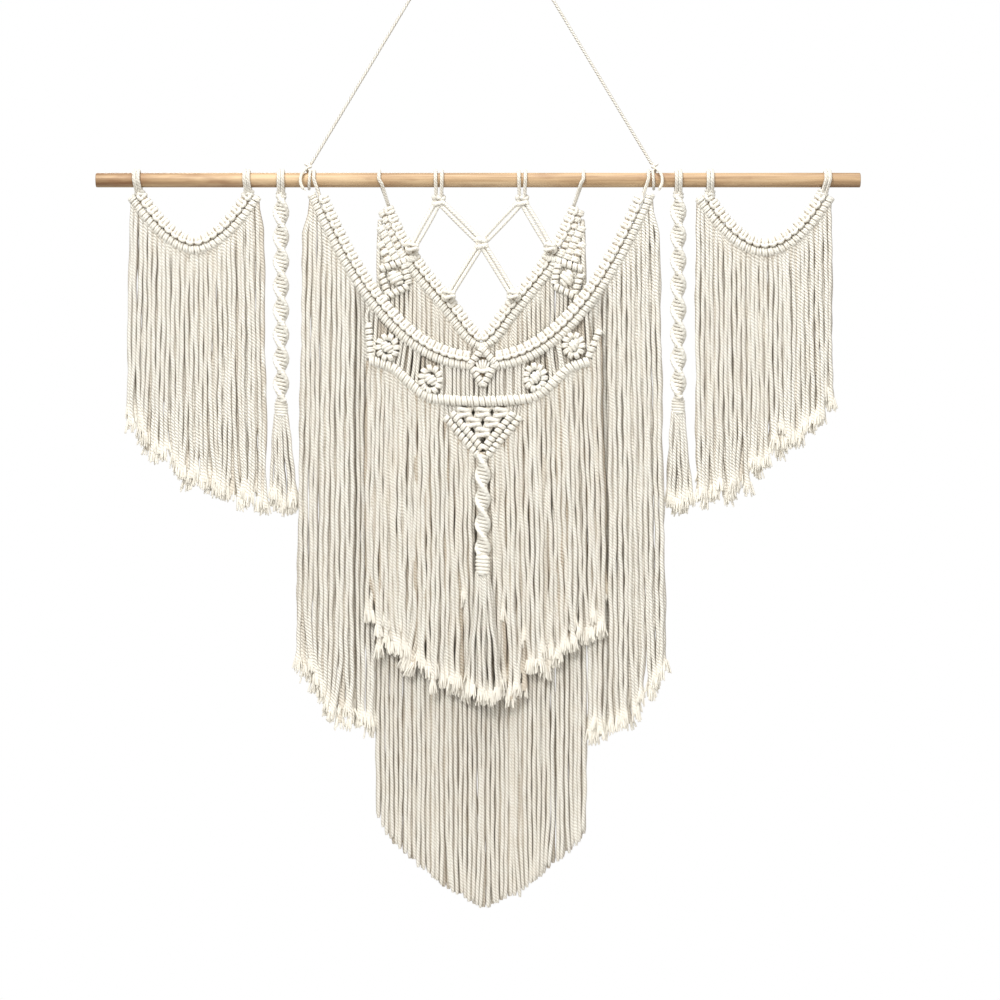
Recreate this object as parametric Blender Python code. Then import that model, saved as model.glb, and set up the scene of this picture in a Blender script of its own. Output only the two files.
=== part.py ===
"""Macrame wall hanging: knotted cotton cord on a round wooden dowel, hung by a thin cord.

Sizes are in millimetres up to the making of a mesh, which is in metres. X runs along the dowel, Z is up
and the front faces -Y. The origin is the point that the hanging cord hangs from. A "drop" is a distance
below the dowel's axis.
"""

import math

import bmesh
import bpy
import numpy as np

MM = 0.001
GAP = 0.3

# The dowel and its place below the hanging point.
ROD_LENGTH = 1000.0
ROD_RADIUS = 9.5
ROD_MIDDLE_X = -4.0
ROD_BELOW_HOOK = 388.0
ROD_SIDES = 24

# The cords: the knotted cotton and the thinner cord that the dowel hangs by.
CORD = 5.4
HANGER_CORD = 3.6
STRAND_PITCH = 6.9
STRAND_WIDTH = 5.2
TIP_SHARE = 0.8
KNEE_BELOW_ROOT = 45.0

# A knotted row: its height square to the holding cord, its half depth and how proud its turns stand.
ROW_HEIGHT = 11.5
ROW_HALF_DEPTH = 5.0
ROW_GAP = 0.5
TURN_PROUD = 1.1
ROWS_BELOW_AXIS = 13.0

# Depths of the layers, from the V panel at the back to the apron and swag in front.
BACK_Y = 7.0
WING_Y = 0.0
FRONT_Y = -7.0
BETWEEN_Y = 1.0
SIDE_TASSEL_Y = 2.5
CENTRE_SPIRAL_Y = -12.5

COTTON = (0.745, 0.708, 0.617)
COTTON_SHADED = (0.658, 0.617, 0.527)
WOOD = (0.604, 0.397, 0.235)

SIDES = {"left": -1, "right": 1}


# ---------------------------------------------------------------- shapes


def world(x, y, drop):
    """Points in millimetres from an X, a depth and a drop below the dowel's axis."""
    x, y, drop = np.broadcast_arrays(*(np.asarray(v, float) for v in (x, y, drop)))
    return np.stack([x, y, -(ROD_BELOW_HOOK + drop)], axis=-1)


def smooth_table(rows, at):
    """A smooth curve through a table's rows (position, value): cubic, with the mean slope at each row."""
    place, value = np.array(rows, float).T
    slope = np.gradient(value, place)
    at = np.clip(at, place[0], place[-1])
    k = np.clip(np.searchsorted(place, at, side="right") - 1, 0, len(place) - 2)
    span = place[k + 1] - place[k]
    t = (at - place[k]) / span
    rise = value[k + 1] - value[k]
    bend_in = slope[k] * span - rise
    bend_out = rise - slope[k + 1] * span
    return value[k] + t * rise + t * (1 - t) * ((1 - t) * bend_in + t * bend_out)


def smooth_route(points, count):
    """`count` points, evenly spaced, along a smooth curve through a route's own points."""
    points = np.array(points, float)
    along = np.concatenate([[0], np.cumsum(np.linalg.norm(np.diff(points, axis=0), axis=1))])
    fine = np.linspace(0, along[-1], 20 * count)
    curve = np.stack([smooth_table(np.stack([along, points[:, k]], 1), fine) for k in range(3)], 1)
    walked = np.concatenate([[0], np.cumsum(np.linalg.norm(np.diff(curve, axis=0), axis=1))])
    even = np.linspace(0, walked[-1], count)
    return np.stack([np.interp(even, walked, curve[:, k]) for k in range(3)], 1)


def unit(vectors):
    return vectors / np.linalg.norm(vectors, axis=-1, keepdims=True)


def swept(points, half_across, half_deep, across=(0, 1, 0), sides=6, turn=0.0):
    """A closed bar along a path. Its oval section has one half size along `across` and one square to it.

    The half sizes and the section's own turn, in radians, are one number or one for each point."""
    points = np.array(points, float)
    count = len(points)
    along = unit(np.gradient(points, axis=0))
    u = np.array(across, float) - (along @ np.array(across, float))[:, None] * along
    u = unit(u)
    v = np.cross(along, u)
    angle = (np.arange(sides) + 0.5) * 2 * math.pi / sides
    a, b, turn = (np.broadcast_to(w, count)[:, None] for w in (half_across, half_deep, turn))
    wide = a * np.cos(angle) * np.cos(turn) - b * np.sin(angle) * np.sin(turn)
    deep = a * np.cos(angle) * np.sin(turn) + b * np.sin(angle) * np.cos(turn)
    rings = points[:, None] + wide[..., None] * u[:, None] + deep[..., None] * v[:, None]
    faces = [
        (i * sides + k, i * sides + (k + 1) % sides, (i + 1) * sides + (k + 1) % sides, (i + 1) * sides + k)
        for i in range(count - 1)
        for k in range(sides)
    ]
    faces += [tuple(range(sides)), tuple(range((count - 1) * sides, count * sides))]
    return rings.reshape(-1, 3), faces


def joined(shapes):
    """Shapes that don't touch each other, as one list of points and faces."""
    points, faces, start = [], [], 0
    for shape_points, shape_faces in shapes:
        points.append(shape_points)
        faces += [tuple(start + k for k in face) for face in shape_faces]
        start += len(shape_points)
    return np.concatenate(points), faces


def finish(name, colour, roughness):
    material = bpy.data.materials.new(name + "_finish")
    material.use_nodes = True
    shader = material.node_tree.nodes["Principled BSDF"]
    shader.inputs["Base Color"].default_value = (*colour, 1)
    shader.inputs["Roughness"].default_value = roughness
    shader.inputs["Metallic"].default_value = 0.0
    return material


def solid(name, shape, colour=COTTON, roughness=0.95):
    """One object from points in millimetres and faces, its faces turned outwards."""
    points, faces = shape
    mesh = bpy.data.meshes.new(name)
    mesh.from_pydata((points * MM).tolist(), [], faces)
    work = bmesh.new()
    work.from_mesh(mesh)
    bmesh.ops.recalc_face_normals(work, faces=work.faces)
    work.to_mesh(mesh)
    work.free()
    mesh.shade_smooth()
    mesh.set_sharp_from_angle(angle=math.radians(50))
    mesh.materials.append(finish(name, colour, roughness))
    piece = bpy.data.objects.new(name, mesh)
    bpy.context.scene.collection.objects.link(piece)
    return piece


def fused(name, shapes, colour=COTTON, roughness=0.95):
    """One object made of shapes that run into each other, such as cords and the knot that holds them."""
    piece = solid(name, shapes[0], colour, roughness)
    for shape in shapes[1:]:
        added = solid(name + "_added", shape)
        union = piece.modifiers.new("Union", "BOOLEAN")
        union.operation = "UNION"
        union.solver = "EXACT"
        union.object = added
        bpy.context.view_layer.update()
        graph = bpy.context.evaluated_depsgraph_get()
        mesh = bpy.data.meshes.new_from_object(piece.evaluated_get(graph))
        piece.modifiers.clear()
        piece.data = mesh
        bpy.data.objects.remove(added)
    piece.data.materials.clear()
    piece.data.materials.append(finish(name, colour, roughness))
    return piece


# ---------------------------------------------------------------- knots and rows


def ridged_bar(start, end, middle_y, half_height=4.6, turn_pitch=8.0):
    """A short hitch row between two places (X, drop): a bar with a ridge for each turn of its cord."""
    start, end = np.array(start, float), np.array(end, float)
    turns = max(2, round(np.linalg.norm(end - start) / turn_pitch))
    t = np.linspace(0, 1, 2 * turns + 1)
    route = start + t[:, None] * (end - start)
    ridge = np.where(np.arange(len(t)) % 2, 1.0, 0.84)
    return swept(world(route[:, 0], middle_y, route[:, 1]), 4.9 * ridge, half_height * ridge, sides=5)


def wrapped_knot(x, y, top, bottom, half_wide, half_deep, turns, sides=8):
    """A cord wrapped round an upright bundle: a barrel with a ridge for each turn."""
    drop = np.linspace(top, bottom, 2 * turns + 1)
    ridge = np.where(np.arange(len(drop)) % 2, 1.0, 0.86)
    return swept(world(x, y, drop), half_deep * ridge, half_wide * ridge, sides=sides)


def rod_loop(x_over, x_below, below_y, below_drop, half=CORD / 2):
    """A cord that passes over the dowel: taut round its top, both legs running down into one knot."""
    radius = ROD_RADIUS + GAP + half * math.sqrt(0.5) + 0.85
    leg_apart = 3.0
    legs = []
    for leg in (-1, 1):
        y, z = below_y + leg * leg_apart, -below_drop
        reach = math.hypot(y, z)
        legs.append(math.atan2(z, y) + leg * math.acos(radius / reach))
    front, back = legs[0] % (2 * math.pi), legs[1]
    angle = np.linspace(front, back, 8)
    x = x_over + (x_below - x_over) * np.maximum(0, -np.sin(angle)) * 0.6
    over = np.stack([x, radius * np.cos(angle), -radius * np.sin(angle)], 1)
    ends = [(x_below, below_y + leg * leg_apart, below_drop) for leg in (-1, 1)]
    path = np.array([ends[0], *over, ends[1]])
    return swept(world(*path.T), half, half, across=(1, 0, 0), sides=4)


def loop_pair(x_over, x_below, below_y, below_drop):
    """Two loops side by side, kept a little apart."""
    apart = CORD / 2 + 0.35
    return joined(
        [rod_loop(x_over + s * apart, x_below + s * apart, below_y, below_drop) for s in (-1, 1)]
    )


def strand_places(first, last):
    """The X of each strand of a fringe between two ends, at the common pitch."""
    count = round((last - first) / STRAND_PITCH)
    return first + (np.arange(count) + 0.5) * (last - first) / count


def row_sections(places):
    """The X of a row's sections: the two edges of each strand in turn."""
    return np.stack([places - STRAND_WIDTH / 2, places + STRAND_WIDTH / 2], 1).ravel()


def beside(line, x, offset):
    """The drop of a line's neighbour, `offset` square to it."""
    slope = (line(x + 0.5) - line(x - 0.5)) / 1.0
    return np.maximum(line(x) + offset * np.sqrt(1 + slope**2), ROWS_BELOW_AXIS)


def knotted_row(sections, upper, lower, middle_y, tips=None):
    """A row cut by upright planes at `sections`, its front and top ridged once for each strand.

    `tips` holds, for each pair of sections, the X, depth and drop of the tip of the strand that hangs from
    the row between them, or None where none does. Each strand is the row's own underside drawn down."""
    count = len(sections)
    ridge = np.where(np.arange(count) % 2, -TURN_PROUD, TURN_PROUD)
    half_strand = STRAND_WIDTH / 2
    middle = (upper + lower) / 2
    ring_y = np.stack(
        [
            np.full(count, middle_y + ROW_HALF_DEPTH),
            np.full(count, middle_y + half_strand),
            np.full(count, middle_y - half_strand),
            middle_y - ROW_HALF_DEPTH - ridge,
            np.full(count, middle_y),
        ],
        1,
    )
    ring_drop = np.stack([middle, lower, lower, middle, upper], 1)
    points = list(world(sections[:, None], ring_y, ring_drop).reshape(-1, 3))
    faces = [tuple(range(5)), tuple(range(5 * count - 5, 5 * count))]
    for i in range(count - 1):
        hangs = tips is not None and i % 2 == 0 and tips[i // 2] is not None
        for k in range(5):
            if not (hangs and k == 1):
                faces.append((5 * i + k, 5 * i + (k + 1) % 5, 5 * i + 5 + (k + 1) % 5, 5 * i + 5 + k))
        if hangs:
            faces += drawn_down(points, (5 * i + 1, 5 * i + 2, 5 * i + 7, 5 * i + 6), tips[i // 2])
    return np.array(points), faces


def drawn_down(points, root, tip):
    """The faces of one strand, from the four root points to a narrower tip. It bends at a knee near the
    root where its tip lies at another depth."""
    root_points = np.array([points[k] for k in root])
    root_middle = root_points.mean(axis=0)
    tip_middle = world(*tip)
    share = KNEE_BELOW_ROOT / max(root_middle[2] - tip_middle[2], 2 * KNEE_BELOW_ROOT)
    knee_middle = root_middle + share * (tip_middle - root_middle)
    knee_middle[1] = tip_middle[1]
    across = root_points - root_middle
    across[:, 2] = 0
    rings = [root]
    levels = [(knee_middle, 1.0), (tip_middle, TIP_SHARE)]
    if abs(tip_middle[1] - root_middle[1]) < 0.1:
        levels = levels[1:]
    for middle, size in levels:
        rings.append(tuple(range(len(points), len(points) + 4)))
        points.extend(middle + size * across)
    faces = [
        (a[k], a[(k + 1) % 4], b[(k + 1) % 4], b[k]) for a, b in zip(rings, rings[1:]) for k in range(4)
    ]
    return faces + [rings[-1]]


def fringe_tips(places, tip_first, tip_last, tip_drops, tip_y, bare=()):
    """The tips of a fringe: spread evenly between two ends and cut along a table (X, drop).

    `bare` lists the stretches of X that carry no strand."""
    spread = (places - places[0]) / (places[-1] - places[0])
    tip_x = tip_first + spread * (tip_last - tip_first)
    drops = smooth_table(tip_drops, tip_x)
    ys = np.broadcast_to(tip_y, places.shape)
    return [
        None if any(low < x < high for low, high in bare) else (tx, y, drop)
        for x, tx, y, drop in zip(places, tip_x, ys, drops)
    ]


def hung_line(middle, half, end_drop, sag, power):
    """The drop along a cord that hangs in a bow between two ends: deepest in its middle."""
    return lambda x: end_drop + sag * (1 - np.abs((x - middle) / half) ** power)


def tassel(name, x, y, top, bottom, half_wide, tips, tip_drop, tip_half_deep):
    """A wrapped knot and the strands below it: two rows that spread from its underside to their tips."""
    head = wrapped_knot(x, y, top, bottom, half_wide, half_wide, turns=4, sides=7)
    strands = []
    for count, row in ((6, -1), (5, 1)):
        for share in np.linspace(-1, 1, count) * (1 if row < 0 else 0.8):
            root_x, root_y = x + 0.72 * half_wide * share, y + 0.28 * half_wide * row
            aim_x = (tips[0] + tips[1]) / 2 + (tips[1] - tips[0]) / 2 * share
            aim_y = y + tip_half_deep * row
            length = tip_drop - 12 * share**2 - bottom
            t = np.array([-0.04, 0.4, 1.0])
            ease = np.clip(t, 0, 1) ** 0.7
            path = world(
                root_x + (aim_x - root_x) * ease, root_y + (aim_y - root_y) * ease, bottom + t * length
            )
            strands.append(swept(path, [1.3, 2.3, 2.2], [1.7, 2.4, 2.2], sides=4))
    fused(name, [head, joined(strands)])


def spiral(name, x, y, top, bottom, half_wide, half_deep, twist_pitch, loops):
    """A half-knot sinnet: a flat cord bundle turned by half a turn for each twist pitch."""
    count = round((bottom - top) / twist_pitch * 4) + 1
    drop = np.linspace(top, bottom, count)
    turn = math.pi * (drop - top) / twist_pitch
    ends = np.minimum(1, 0.72 + 0.28 * np.minimum(drop - top, bottom - drop) / 12)
    sinnet = swept(world(x, y, drop), half_deep * ends, half_wide * ends, sides=6, turn=turn)
    fused(name, [sinnet, *loops])


def rosette(x, drop, y, radius, half_deep):
    """A round of six knots about a berry knot: a disc with a lumpy rim, a groove and a raised middle."""
    around = np.arange(12) * math.pi / 6
    lump = np.cos(6 * around)
    profile = (  # share of the radius, height in front of the middle plane, share of the lumps
        (0.0, 1.15, 0.0),
        (0.30, 0.95, 0.0),
        (0.48, 0.30, 0.0),
        (0.78, 1.00, 0.12),
        (1.00, 0.00, 0.05),
        (0.80, -0.80, 0.0),
    )
    points, rings = [], []
    for reach, height, bumps in profile[1:]:
        r = radius * reach * (1 + (0.05 * lump if reach == 1.0 else 0))
        front = y - half_deep * height * (1 + bumps * lump)
        rings.append(tuple(range(len(points), len(points) + 12)))
        points.extend(world(x + r * np.cos(around), front, drop + r * np.sin(around)))
    crown = len(points)
    points.append(world(x, y - half_deep * profile[0][1], drop))
    faces = [
        (a[k], a[(k + 1) % 12], b[(k + 1) % 12], b[k]) for a, b in zip(rings, rings[1:]) for k in range(12)
    ]
    faces += [(crown, rings[0][k], rings[0][(k + 1) % 12]) for k in range(12)] + [rings[-1]]
    return np.array(points), faces


# ---------------------------------------------------------------- dowel and hanging cord


def dowel():
    ends = [[ROD_MIDDLE_X + s * ROD_LENGTH / 2, 0.0, -ROD_BELOW_HOOK] for s in (-1, 1)]
    rod = swept(ends, ROD_RADIUS, ROD_RADIUS, sides=ROD_SIDES)
    solid("dowel", rod, WOOD, 0.5)


TIE_X = {"left": -226.0, "right": 226.5}
TIE_KNOT_DROP = -16.3
HOOK_RADIUS = 5.0


def hanging_cord():
    """The taut cord from one tie, over the hanging point, down to the other, and its two knots."""
    legs = []
    for side, sign in SIDES.items():
        knot_top = np.array([TIE_X[side] - sign * 3.7, 0.0, -(ROD_BELOW_HOOK + TIE_KNOT_DROP) + 5.2])
        shoulder = np.array([sign * HOOK_RADIUS, 0.0, -HOOK_RADIUS * 0.75])
        legs.append([knot_top + (shoulder - knot_top) * t for t in (0, 0.25, 0.5, 0.75, 0.96, 1)])
    route = legs[0] + [np.array([0.0, 0.0, 0.0])] + legs[1][::-1]
    path = smooth_route(route, 65)
    curve = bpy.data.curves.new("hanging_cord", "CURVE")
    curve.dimensions = "3D"
    curve.bevel_depth = HANGER_CORD / 2 * MM
    curve.bevel_resolution = 2
    curve.use_fill_caps = True
    line = curve.splines.new("POLY")
    line.points.add(len(path) - 1)
    for point, place in zip(line.points, path):
        point.co = (*(place * MM), 1)
    curve.materials.append(finish("hanging_cord", COTTON, 0.9))
    piece = bpy.data.objects.new("hanging_cord", curve)
    bpy.context.scene.collection.objects.link(piece)

    for side, sign in SIDES.items():
        x = TIE_X[side]
        knot = swept(
            world(x + sign * np.array([1.6, 1, -1, -3.2]), 0, TIE_KNOT_DROP + np.array([4.5, 2, -2, -4.6])),
            [2.6, 4.4, 4.4, 2.6],
            [2.6, 4.4, 4.4, 2.6],
        )
        radius = ROD_RADIUS + GAP + HANGER_CORD / 2 + 0.4
        angle = np.radians(np.linspace(82, 458, 13))
        turn = swept(
            world(x + sign * np.linspace(-0.4, 3.6, 13), radius * np.cos(angle), -radius * np.sin(angle)),
            HANGER_CORD / 2,
            HANGER_CORD / 2,
            across=(1, 0, 0),
            sides=4,
        )
        tail_x = x + sign * np.array([1.0, 4.5, 9.0, 12.5])
        tail = swept(
            world(tail_x, [-2, -13.6, -15.0, -14.0], [TIE_KNOT_DROP + 1, -9, 2, 12]),
            [1.8, 2.0, 2.4, 3.0],
            [1.8, 2.0, 2.4, 2.4],
            across=(1, 0, 0),
            sides=4,
        )
        fused("hanging_tie_" + side, [knot, turn, tail])


# ---------------------------------------------------------------- wings and side spirals

WING = {  # middle X, half width, drop at the ends, sag; loops' X; tips of the fringe
    "left": {
        "line": (-377.0, 80.0, 17.0, 71.5, 1.9),
        "fringe": (-459.5, -289.0),
        "loops": ((-450.8, -447.1), (-307.0, -304.0)),
        "tips": (-466.0, -280.0),
        "tip_drops": ((-467, 318), (-430, 360), (-379, 401), (-322, 423), (-279, 437)),
    },
    "right": {
        "line": (373.0, 84.0, 17.0, 74.0, 1.9),
        "fringe": (283.0, 458.5),
        "loops": ((299.5, 299.5), (453.0, 447.5)),
        "tips": (281.5, 461.0),
        "tip_drops": ((280, 428), (311, 423), (333, 413), (361, 395), (384, 372), (427, 342), (462, 298)),
    },
}


def wing(side):
    """A small bow of lark's heads with a row of hitches and a slanted fringe under it."""
    spec = WING[side]
    line = hung_line(*spec["line"])
    places = strand_places(*spec["fringe"])
    sections = row_sections(places)
    low, high = (below for _, below in spec["loops"])
    mount = places[(places > low - 8) & (places < high + 8)]
    row = knotted_row(mount, beside(line, mount, -ROW_HEIGHT), beside(line, mount, -ROW_GAP / 2), WING_Y)
    loops = [loop_pair(over, below, WING_Y, 21.0) for over, below in spec["loops"]]
    fused(f"wing_{side}_mount", [row, *loops])
    tips = fringe_tips(places, *spec["tips"], spec["tip_drops"], WING_Y)
    upper = beside(line, sections, ROW_GAP / 2)
    lower = np.maximum(beside(line, sections, ROW_HEIGHT), upper + 7)
    solid(f"wing_{side}_fringe", knotted_row(sections, upper, lower, WING_Y, tips))


SIDE_SPIRAL = {  # X of the sinnet and of its wrapped knot, drops, ends of the tassel's spread
    "left": {"x": -262.0, "top": 16.0, "bottom": 291.0, "knot_end": 309.0, "tips": (-273.8, -241.5)},
    "right": {"x": 258.0, "top": 16.0, "bottom": 287.0, "knot_end": 305.5, "tips": (243.0, 273.5)},
}
SPIRAL_HALF_WIDE = 10.0
SPIRAL_HALF_DEEP = 6.0
TWIST_PITCH = 32.0
SIDE_TASSEL_DROP = 434.0


def side_spiral(side):
    spec = SIDE_SPIRAL[side]
    x = spec["x"]
    loops = [loop_pair(x, x, 0.0, 24.0)]
    spiral(
        "spiral_" + side,
        x,
        0.0,
        spec["top"],
        spec["bottom"] - GAP,
        SPIRAL_HALF_WIDE,
        SPIRAL_HALF_DEEP,
        TWIST_PITCH,
        loops,
    )
    tassel(
        "tassel_" + side,
        x,
        SIDE_TASSEL_Y,
        spec["bottom"],
        spec["knot_end"],
        10.0,
        spec["tips"],
        SIDE_TASSEL_DROP,
        2.6,
    )


# ---------------------------------------------------------------- swag

SWAG_HALF = 217.0
SWAG_LINE = hung_line(0.0, SWAG_HALF, 15.0, 220.0, 2.25)
SWAG_OUTER = 231.0
SWAG_INNER = 17.0
DIAMOND_X = 2.0
SIDE_FRINGE_INNER = 156.0
SIDE_TIPS = (142.0, 242.0)
SIDE_TIP_DROPS = ((140, 738), (178, 721), (200, 704), (225, 672), (246, 645))
BEHIND_APRON = 168.0
APRON_TOP_DROPS = (
    (0, 283), (45, 281), (68, 277), (80, 269), (92, 258.5), (111, 241.5), (130, 233.5), (160, 228),
)
ROSETTES = {  # X, drop and radius of each round of knots in the apron
    "outer_left": (-123.0, 220.0, 15.0),
    "inner_left": (-64.5, 261.2, 14.8),
    "inner_right": (68.5, 259.0, 14.3),
    "outer_right": (122.5, 220.2, 15.0),
}


def apron_top(x):
    """The drop of the upper edge of the apron's lower bar."""
    return smooth_table(APRON_TOP_DROPS, np.abs(x))


def swag_half(side):
    """Half of the big bow, from its loop over the dowel to the centre diamond."""
    sign = SIDES[side]
    inner = SWAG_INNER + sign * DIAMOND_X
    places = strand_places(inner, SWAG_OUTER)
    sections = row_sections(places)
    mount = places[places < SWAG_HALF]
    row = knotted_row(
        mount, beside(SWAG_LINE, mount, -ROW_HEIGHT), beside(SWAG_LINE, mount, -ROW_GAP / 2), FRONT_Y
    )
    row[0][:, 0] *= sign
    loop = rod_loop(sign * 218.5, sign * 210.1, FRONT_Y, 21.8)
    fused(f"swag_{side}_mount", [row, loop])

    outer = places > SIDE_FRINGE_INNER
    fringe = fringe_tips(places[outer], *SIDE_TIPS, SIDE_TIP_DROPS, FRONT_Y)
    fringe = [(x, BETWEEN_Y if x < BEHIND_APRON else y, drop) for x, y, drop in fringe]
    blocked = [(sign * x - radius - 3.6, sign * x + radius + 3.6) for x, _, radius in ROSETTES.values()]
    blocked.append((0, inner + 4))
    links = []
    for x in places[~outer]:
        if any(low < x < high for low, high in blocked) or x > 141:
            links.append(None)
        else:
            under = x + np.array([-1, 0, 1]) * STRAND_WIDTH / 2
            links.append((x, FRONT_Y, float(apron_top(under).min()) - GAP - 0.2))
    upper = beside(SWAG_LINE, sections, ROW_GAP / 2)
    lower = np.maximum(beside(SWAG_LINE, sections, ROW_HEIGHT), upper + 7)
    points, faces = knotted_row(sections, upper, lower, FRONT_Y, links + fringe)
    points[:, 0] *= sign
    solid(f"swag_{side}_fringe", (points, faces))


# ---------------------------------------------------------------- V panel and lattice

PANEL_EDGE_DROPS = (
    (0, 212), (9, 207), (18, 198), (31, 180.5), (51, 155.5), (80, 120.5), (101, 91), (111, 65.5),
    (121, 37), (129, 14),
)
PANEL_TOP_X = 123.5
PANEL_MEET_X = 3.2
PANEL_FRINGE_HALF = 91.0
PANEL_TIP_HALF = 97.0
PANEL_TIP_DROPS = ((0, 955), (24, 942), (50, 930), (76, 908), (105, 883), (124, 862), (142, 836))
FAN_BARS = (  # upper and lower end of each hitch row, as X and drop
    ((126.8, 35.7), (105.7, 94.3)),
    ((129.4, 47.5), (113.9, 98.5)),
    ((130.8, 61.0), (121.4, 103.0)),
)
PANEL_ROSETTE = ((96.8, 105.6), (131.0, 120.5), (123.0, 150.0), (94.4, 133.0))


def panel_line(x):
    """The drop of the line between the two rows of the V's arms."""
    return smooth_table(PANEL_EDGE_DROPS, np.abs(x))


def panel_arm(side):
    """One arm of the V: its lark's-head row, with the loop over the dowel, and the fan of hitch rows."""
    sign = SIDES[side]
    mount = strand_places(PANEL_MEET_X, PANEL_TOP_X)
    row = knotted_row(
        mount, beside(panel_line, mount, -ROW_HEIGHT), beside(panel_line, mount, -ROW_GAP / 2), BACK_Y
    )
    row[0][:, 0] *= sign
    loop = rod_loop(sign * 133.5, sign * 121.0, BACK_Y, 24.0)
    fused(f"panel_{side}_mount", [row, loop])

    bars = []
    for top, bottom in FAN_BARS:
        top, bottom = (sign * top[0], top[1]), (sign * bottom[0], bottom[1])
        bars.append(ridged_bar(top, bottom, BACK_Y, half_height=4.3))
    fused(f"panel_{side}_fan", bars, COTTON_SHADED)

    corners = [(sign * x, drop) for x, drop in PANEL_ROSETTE]
    frame = [
        ridged_bar(a, b, BACK_Y - 1.5, half_height=4.2) for a, b in zip(corners, corners[1:] + corners[:1])
    ]
    middle = np.mean(corners, axis=0)
    berry = wrapped_knot(middle[0], BACK_Y - 2, middle[1] - 11.6, middle[1] + 12, 11.7, 8.0, 2, sides=6)
    fused(f"panel_{side}_rosette", [berry, *frame])


def panel_fringe():
    """The hitch rows under both arms of the V, with the middle of the long back fringe."""
    places = strand_places(-PANEL_FRINGE_HALF, PANEL_FRINGE_HALF)
    sections = row_sections(places)
    upper = beside(panel_line, sections, ROW_GAP / 2)
    lower = beside(panel_line, sections, ROW_HEIGHT)
    spread = PANEL_TIP_HALF / PANEL_FRINGE_HALF
    tips = [
        (x * spread, BACK_Y, float(smooth_table(PANEL_TIP_DROPS, abs(x * spread)))) for x in places
    ]
    solid("panel_fringe", knotted_row(sections, upper, lower, BACK_Y, tips), COTTON_SHADED)


def under_bar(x, start, end, clear=4.3):
    """The drop of a line that runs under a slanted bar, `clear` square to the line of its two ends."""
    run, fall = end[0] - start[0], end[1] - start[1]
    return start[1] + (x - start[0]) * fall / run + clear * math.hypot(run, fall) / abs(run)


def panel_side_fringe(side):
    """The outer strands of the back fringe and the bar that holds them behind the rosette."""
    sign = SIDES[side]
    places = strand_places(97.0, 141.5)
    sections = row_sections(places)
    (_, side_corner, foot, inner_corner) = PANEL_ROSETTE
    upper = np.minimum(
        under_bar(sections, side_corner, foot), under_bar(sections, foot, inner_corner)
    )
    tips = [(x + 1.0, BACK_Y, float(smooth_table(PANEL_TIP_DROPS, x + 1.0))) for x in places]
    row = knotted_row(sections, upper, upper + 8, BACK_Y, tips)
    row[0][:, 0] *= sign
    outer = swept(world(sign * places[-1], BACK_Y, np.array([124.0, 90.0, 62.0])), 2.3, 2.3, sides=4)
    fused(f"panel_{side}_side_fringe", [row, outer], COTTON_SHADED)


LATTICE_KNOT = {  # X, drop, half width, half height of the square knots
    "left": (-55.5, 27.0, 9.0, 7.0),
    "right": (53.5, 27.0, 9.0, 7.0),
    "middle": (0.5, 83.0, 9.0, 7.5),
}
LATTICE_Y = -4.1
LATTICE_TOP_Y = -3.0
LATTICE_SEATS = {"upper": (89.5, 88.0), "lower": (41.5, 150.0)}


def lattice():
    """The open net between the arms: pairs of cords running from square knot to square knot."""
    knots, cords, loops = [], [], []
    for key, (x, drop, half_wide, half_high) in LATTICE_KNOT.items():
        y = LATTICE_Y if key == "middle" else LATTICE_TOP_Y
        knots.append(wrapped_knot(x, y, drop - half_high, drop + half_high, half_wide, 5.6, 2, sides=6))
    for sign in SIDES.values():
        for x, drop in LATTICE_SEATS.values():
            knots.append(wrapped_knot(sign * x, LATTICE_Y, drop - 6, drop + 6, 7.0, 5.2, 1, sides=6))
        top = LATTICE_KNOT["left" if sign < 0 else "right"][:2]
        middle = LATTICE_KNOT["middle"][:2]
        runs = (
            (top, LATTICE_TOP_Y, (sign * LATTICE_SEATS["upper"][0], LATTICE_SEATS["upper"][1])),
            (top, LATTICE_TOP_Y, middle),
            (middle, LATTICE_Y, (sign * LATTICE_SEATS["lower"][0], LATTICE_SEATS["lower"][1])),
        )
        for start, start_y, end in runs:
            start, end = np.array(start), np.array(end)
            way = (end - start) / np.linalg.norm(end - start)
            aside = np.array([-way[1], way[0]]) * 2.9
            for s in (-1, 1):
                a, b = start + s * aside, end + s * aside
                line = world([a[0], b[0]], [start_y, LATTICE_Y], [a[1], b[1]])
                cords.append(swept(line, 2.4, 2.4, sides=4))
        for s in (-1, 1):
            loops.append(rod_loop(top[0] + s * 5.8, top[0] + s * 4.0, LATTICE_TOP_Y, 26.0))
    fused("lattice", [*knots, *cords, *loops])


# ---------------------------------------------------------------- apron

APRON_ENDS = (-152.0, 158.0)
APRON_TIPS = (-153.0, 165.0)
APRON_TIP_DROPS = (
    (-154, 580), (-143, 597), (-126, 624), (-103, 632), (-87, 645), (-58, 663), (-38, 673), (-12, 677),
    (24, 681), (44, 677), (58, 667), (76, 653), (93, 639), (118, 618), (141, 606), (166, 584),
)
APRON_BAR_HEIGHT = 13.0
TRIANGLE_HALF = 50.0
TRIANGLE_APEX = 341.4
TRIANGLE_SLOPE = 0.97
TRIANGLE_ROWS_HEIGHT = 22.0
TRIANGLE_KNOTS = ((3, 306.2, 6.2), (2, 316.6, 6.0), (1, 326.5, 5.4))
CENTRE_HOLE = (DIAMOND_X - 13.5, DIAMOND_X + 13.5)


def apron_edges():
    """The short upright hitch rows that close the apron's sides."""
    solid("apron_left_edge", ridged_bar((-147.5, 168.8), (-146.5, 229.2), FRONT_Y))
    solid("apron_right_edge", ridged_bar((148.0, 168.4), (146.5, 229.2), FRONT_Y))


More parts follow.
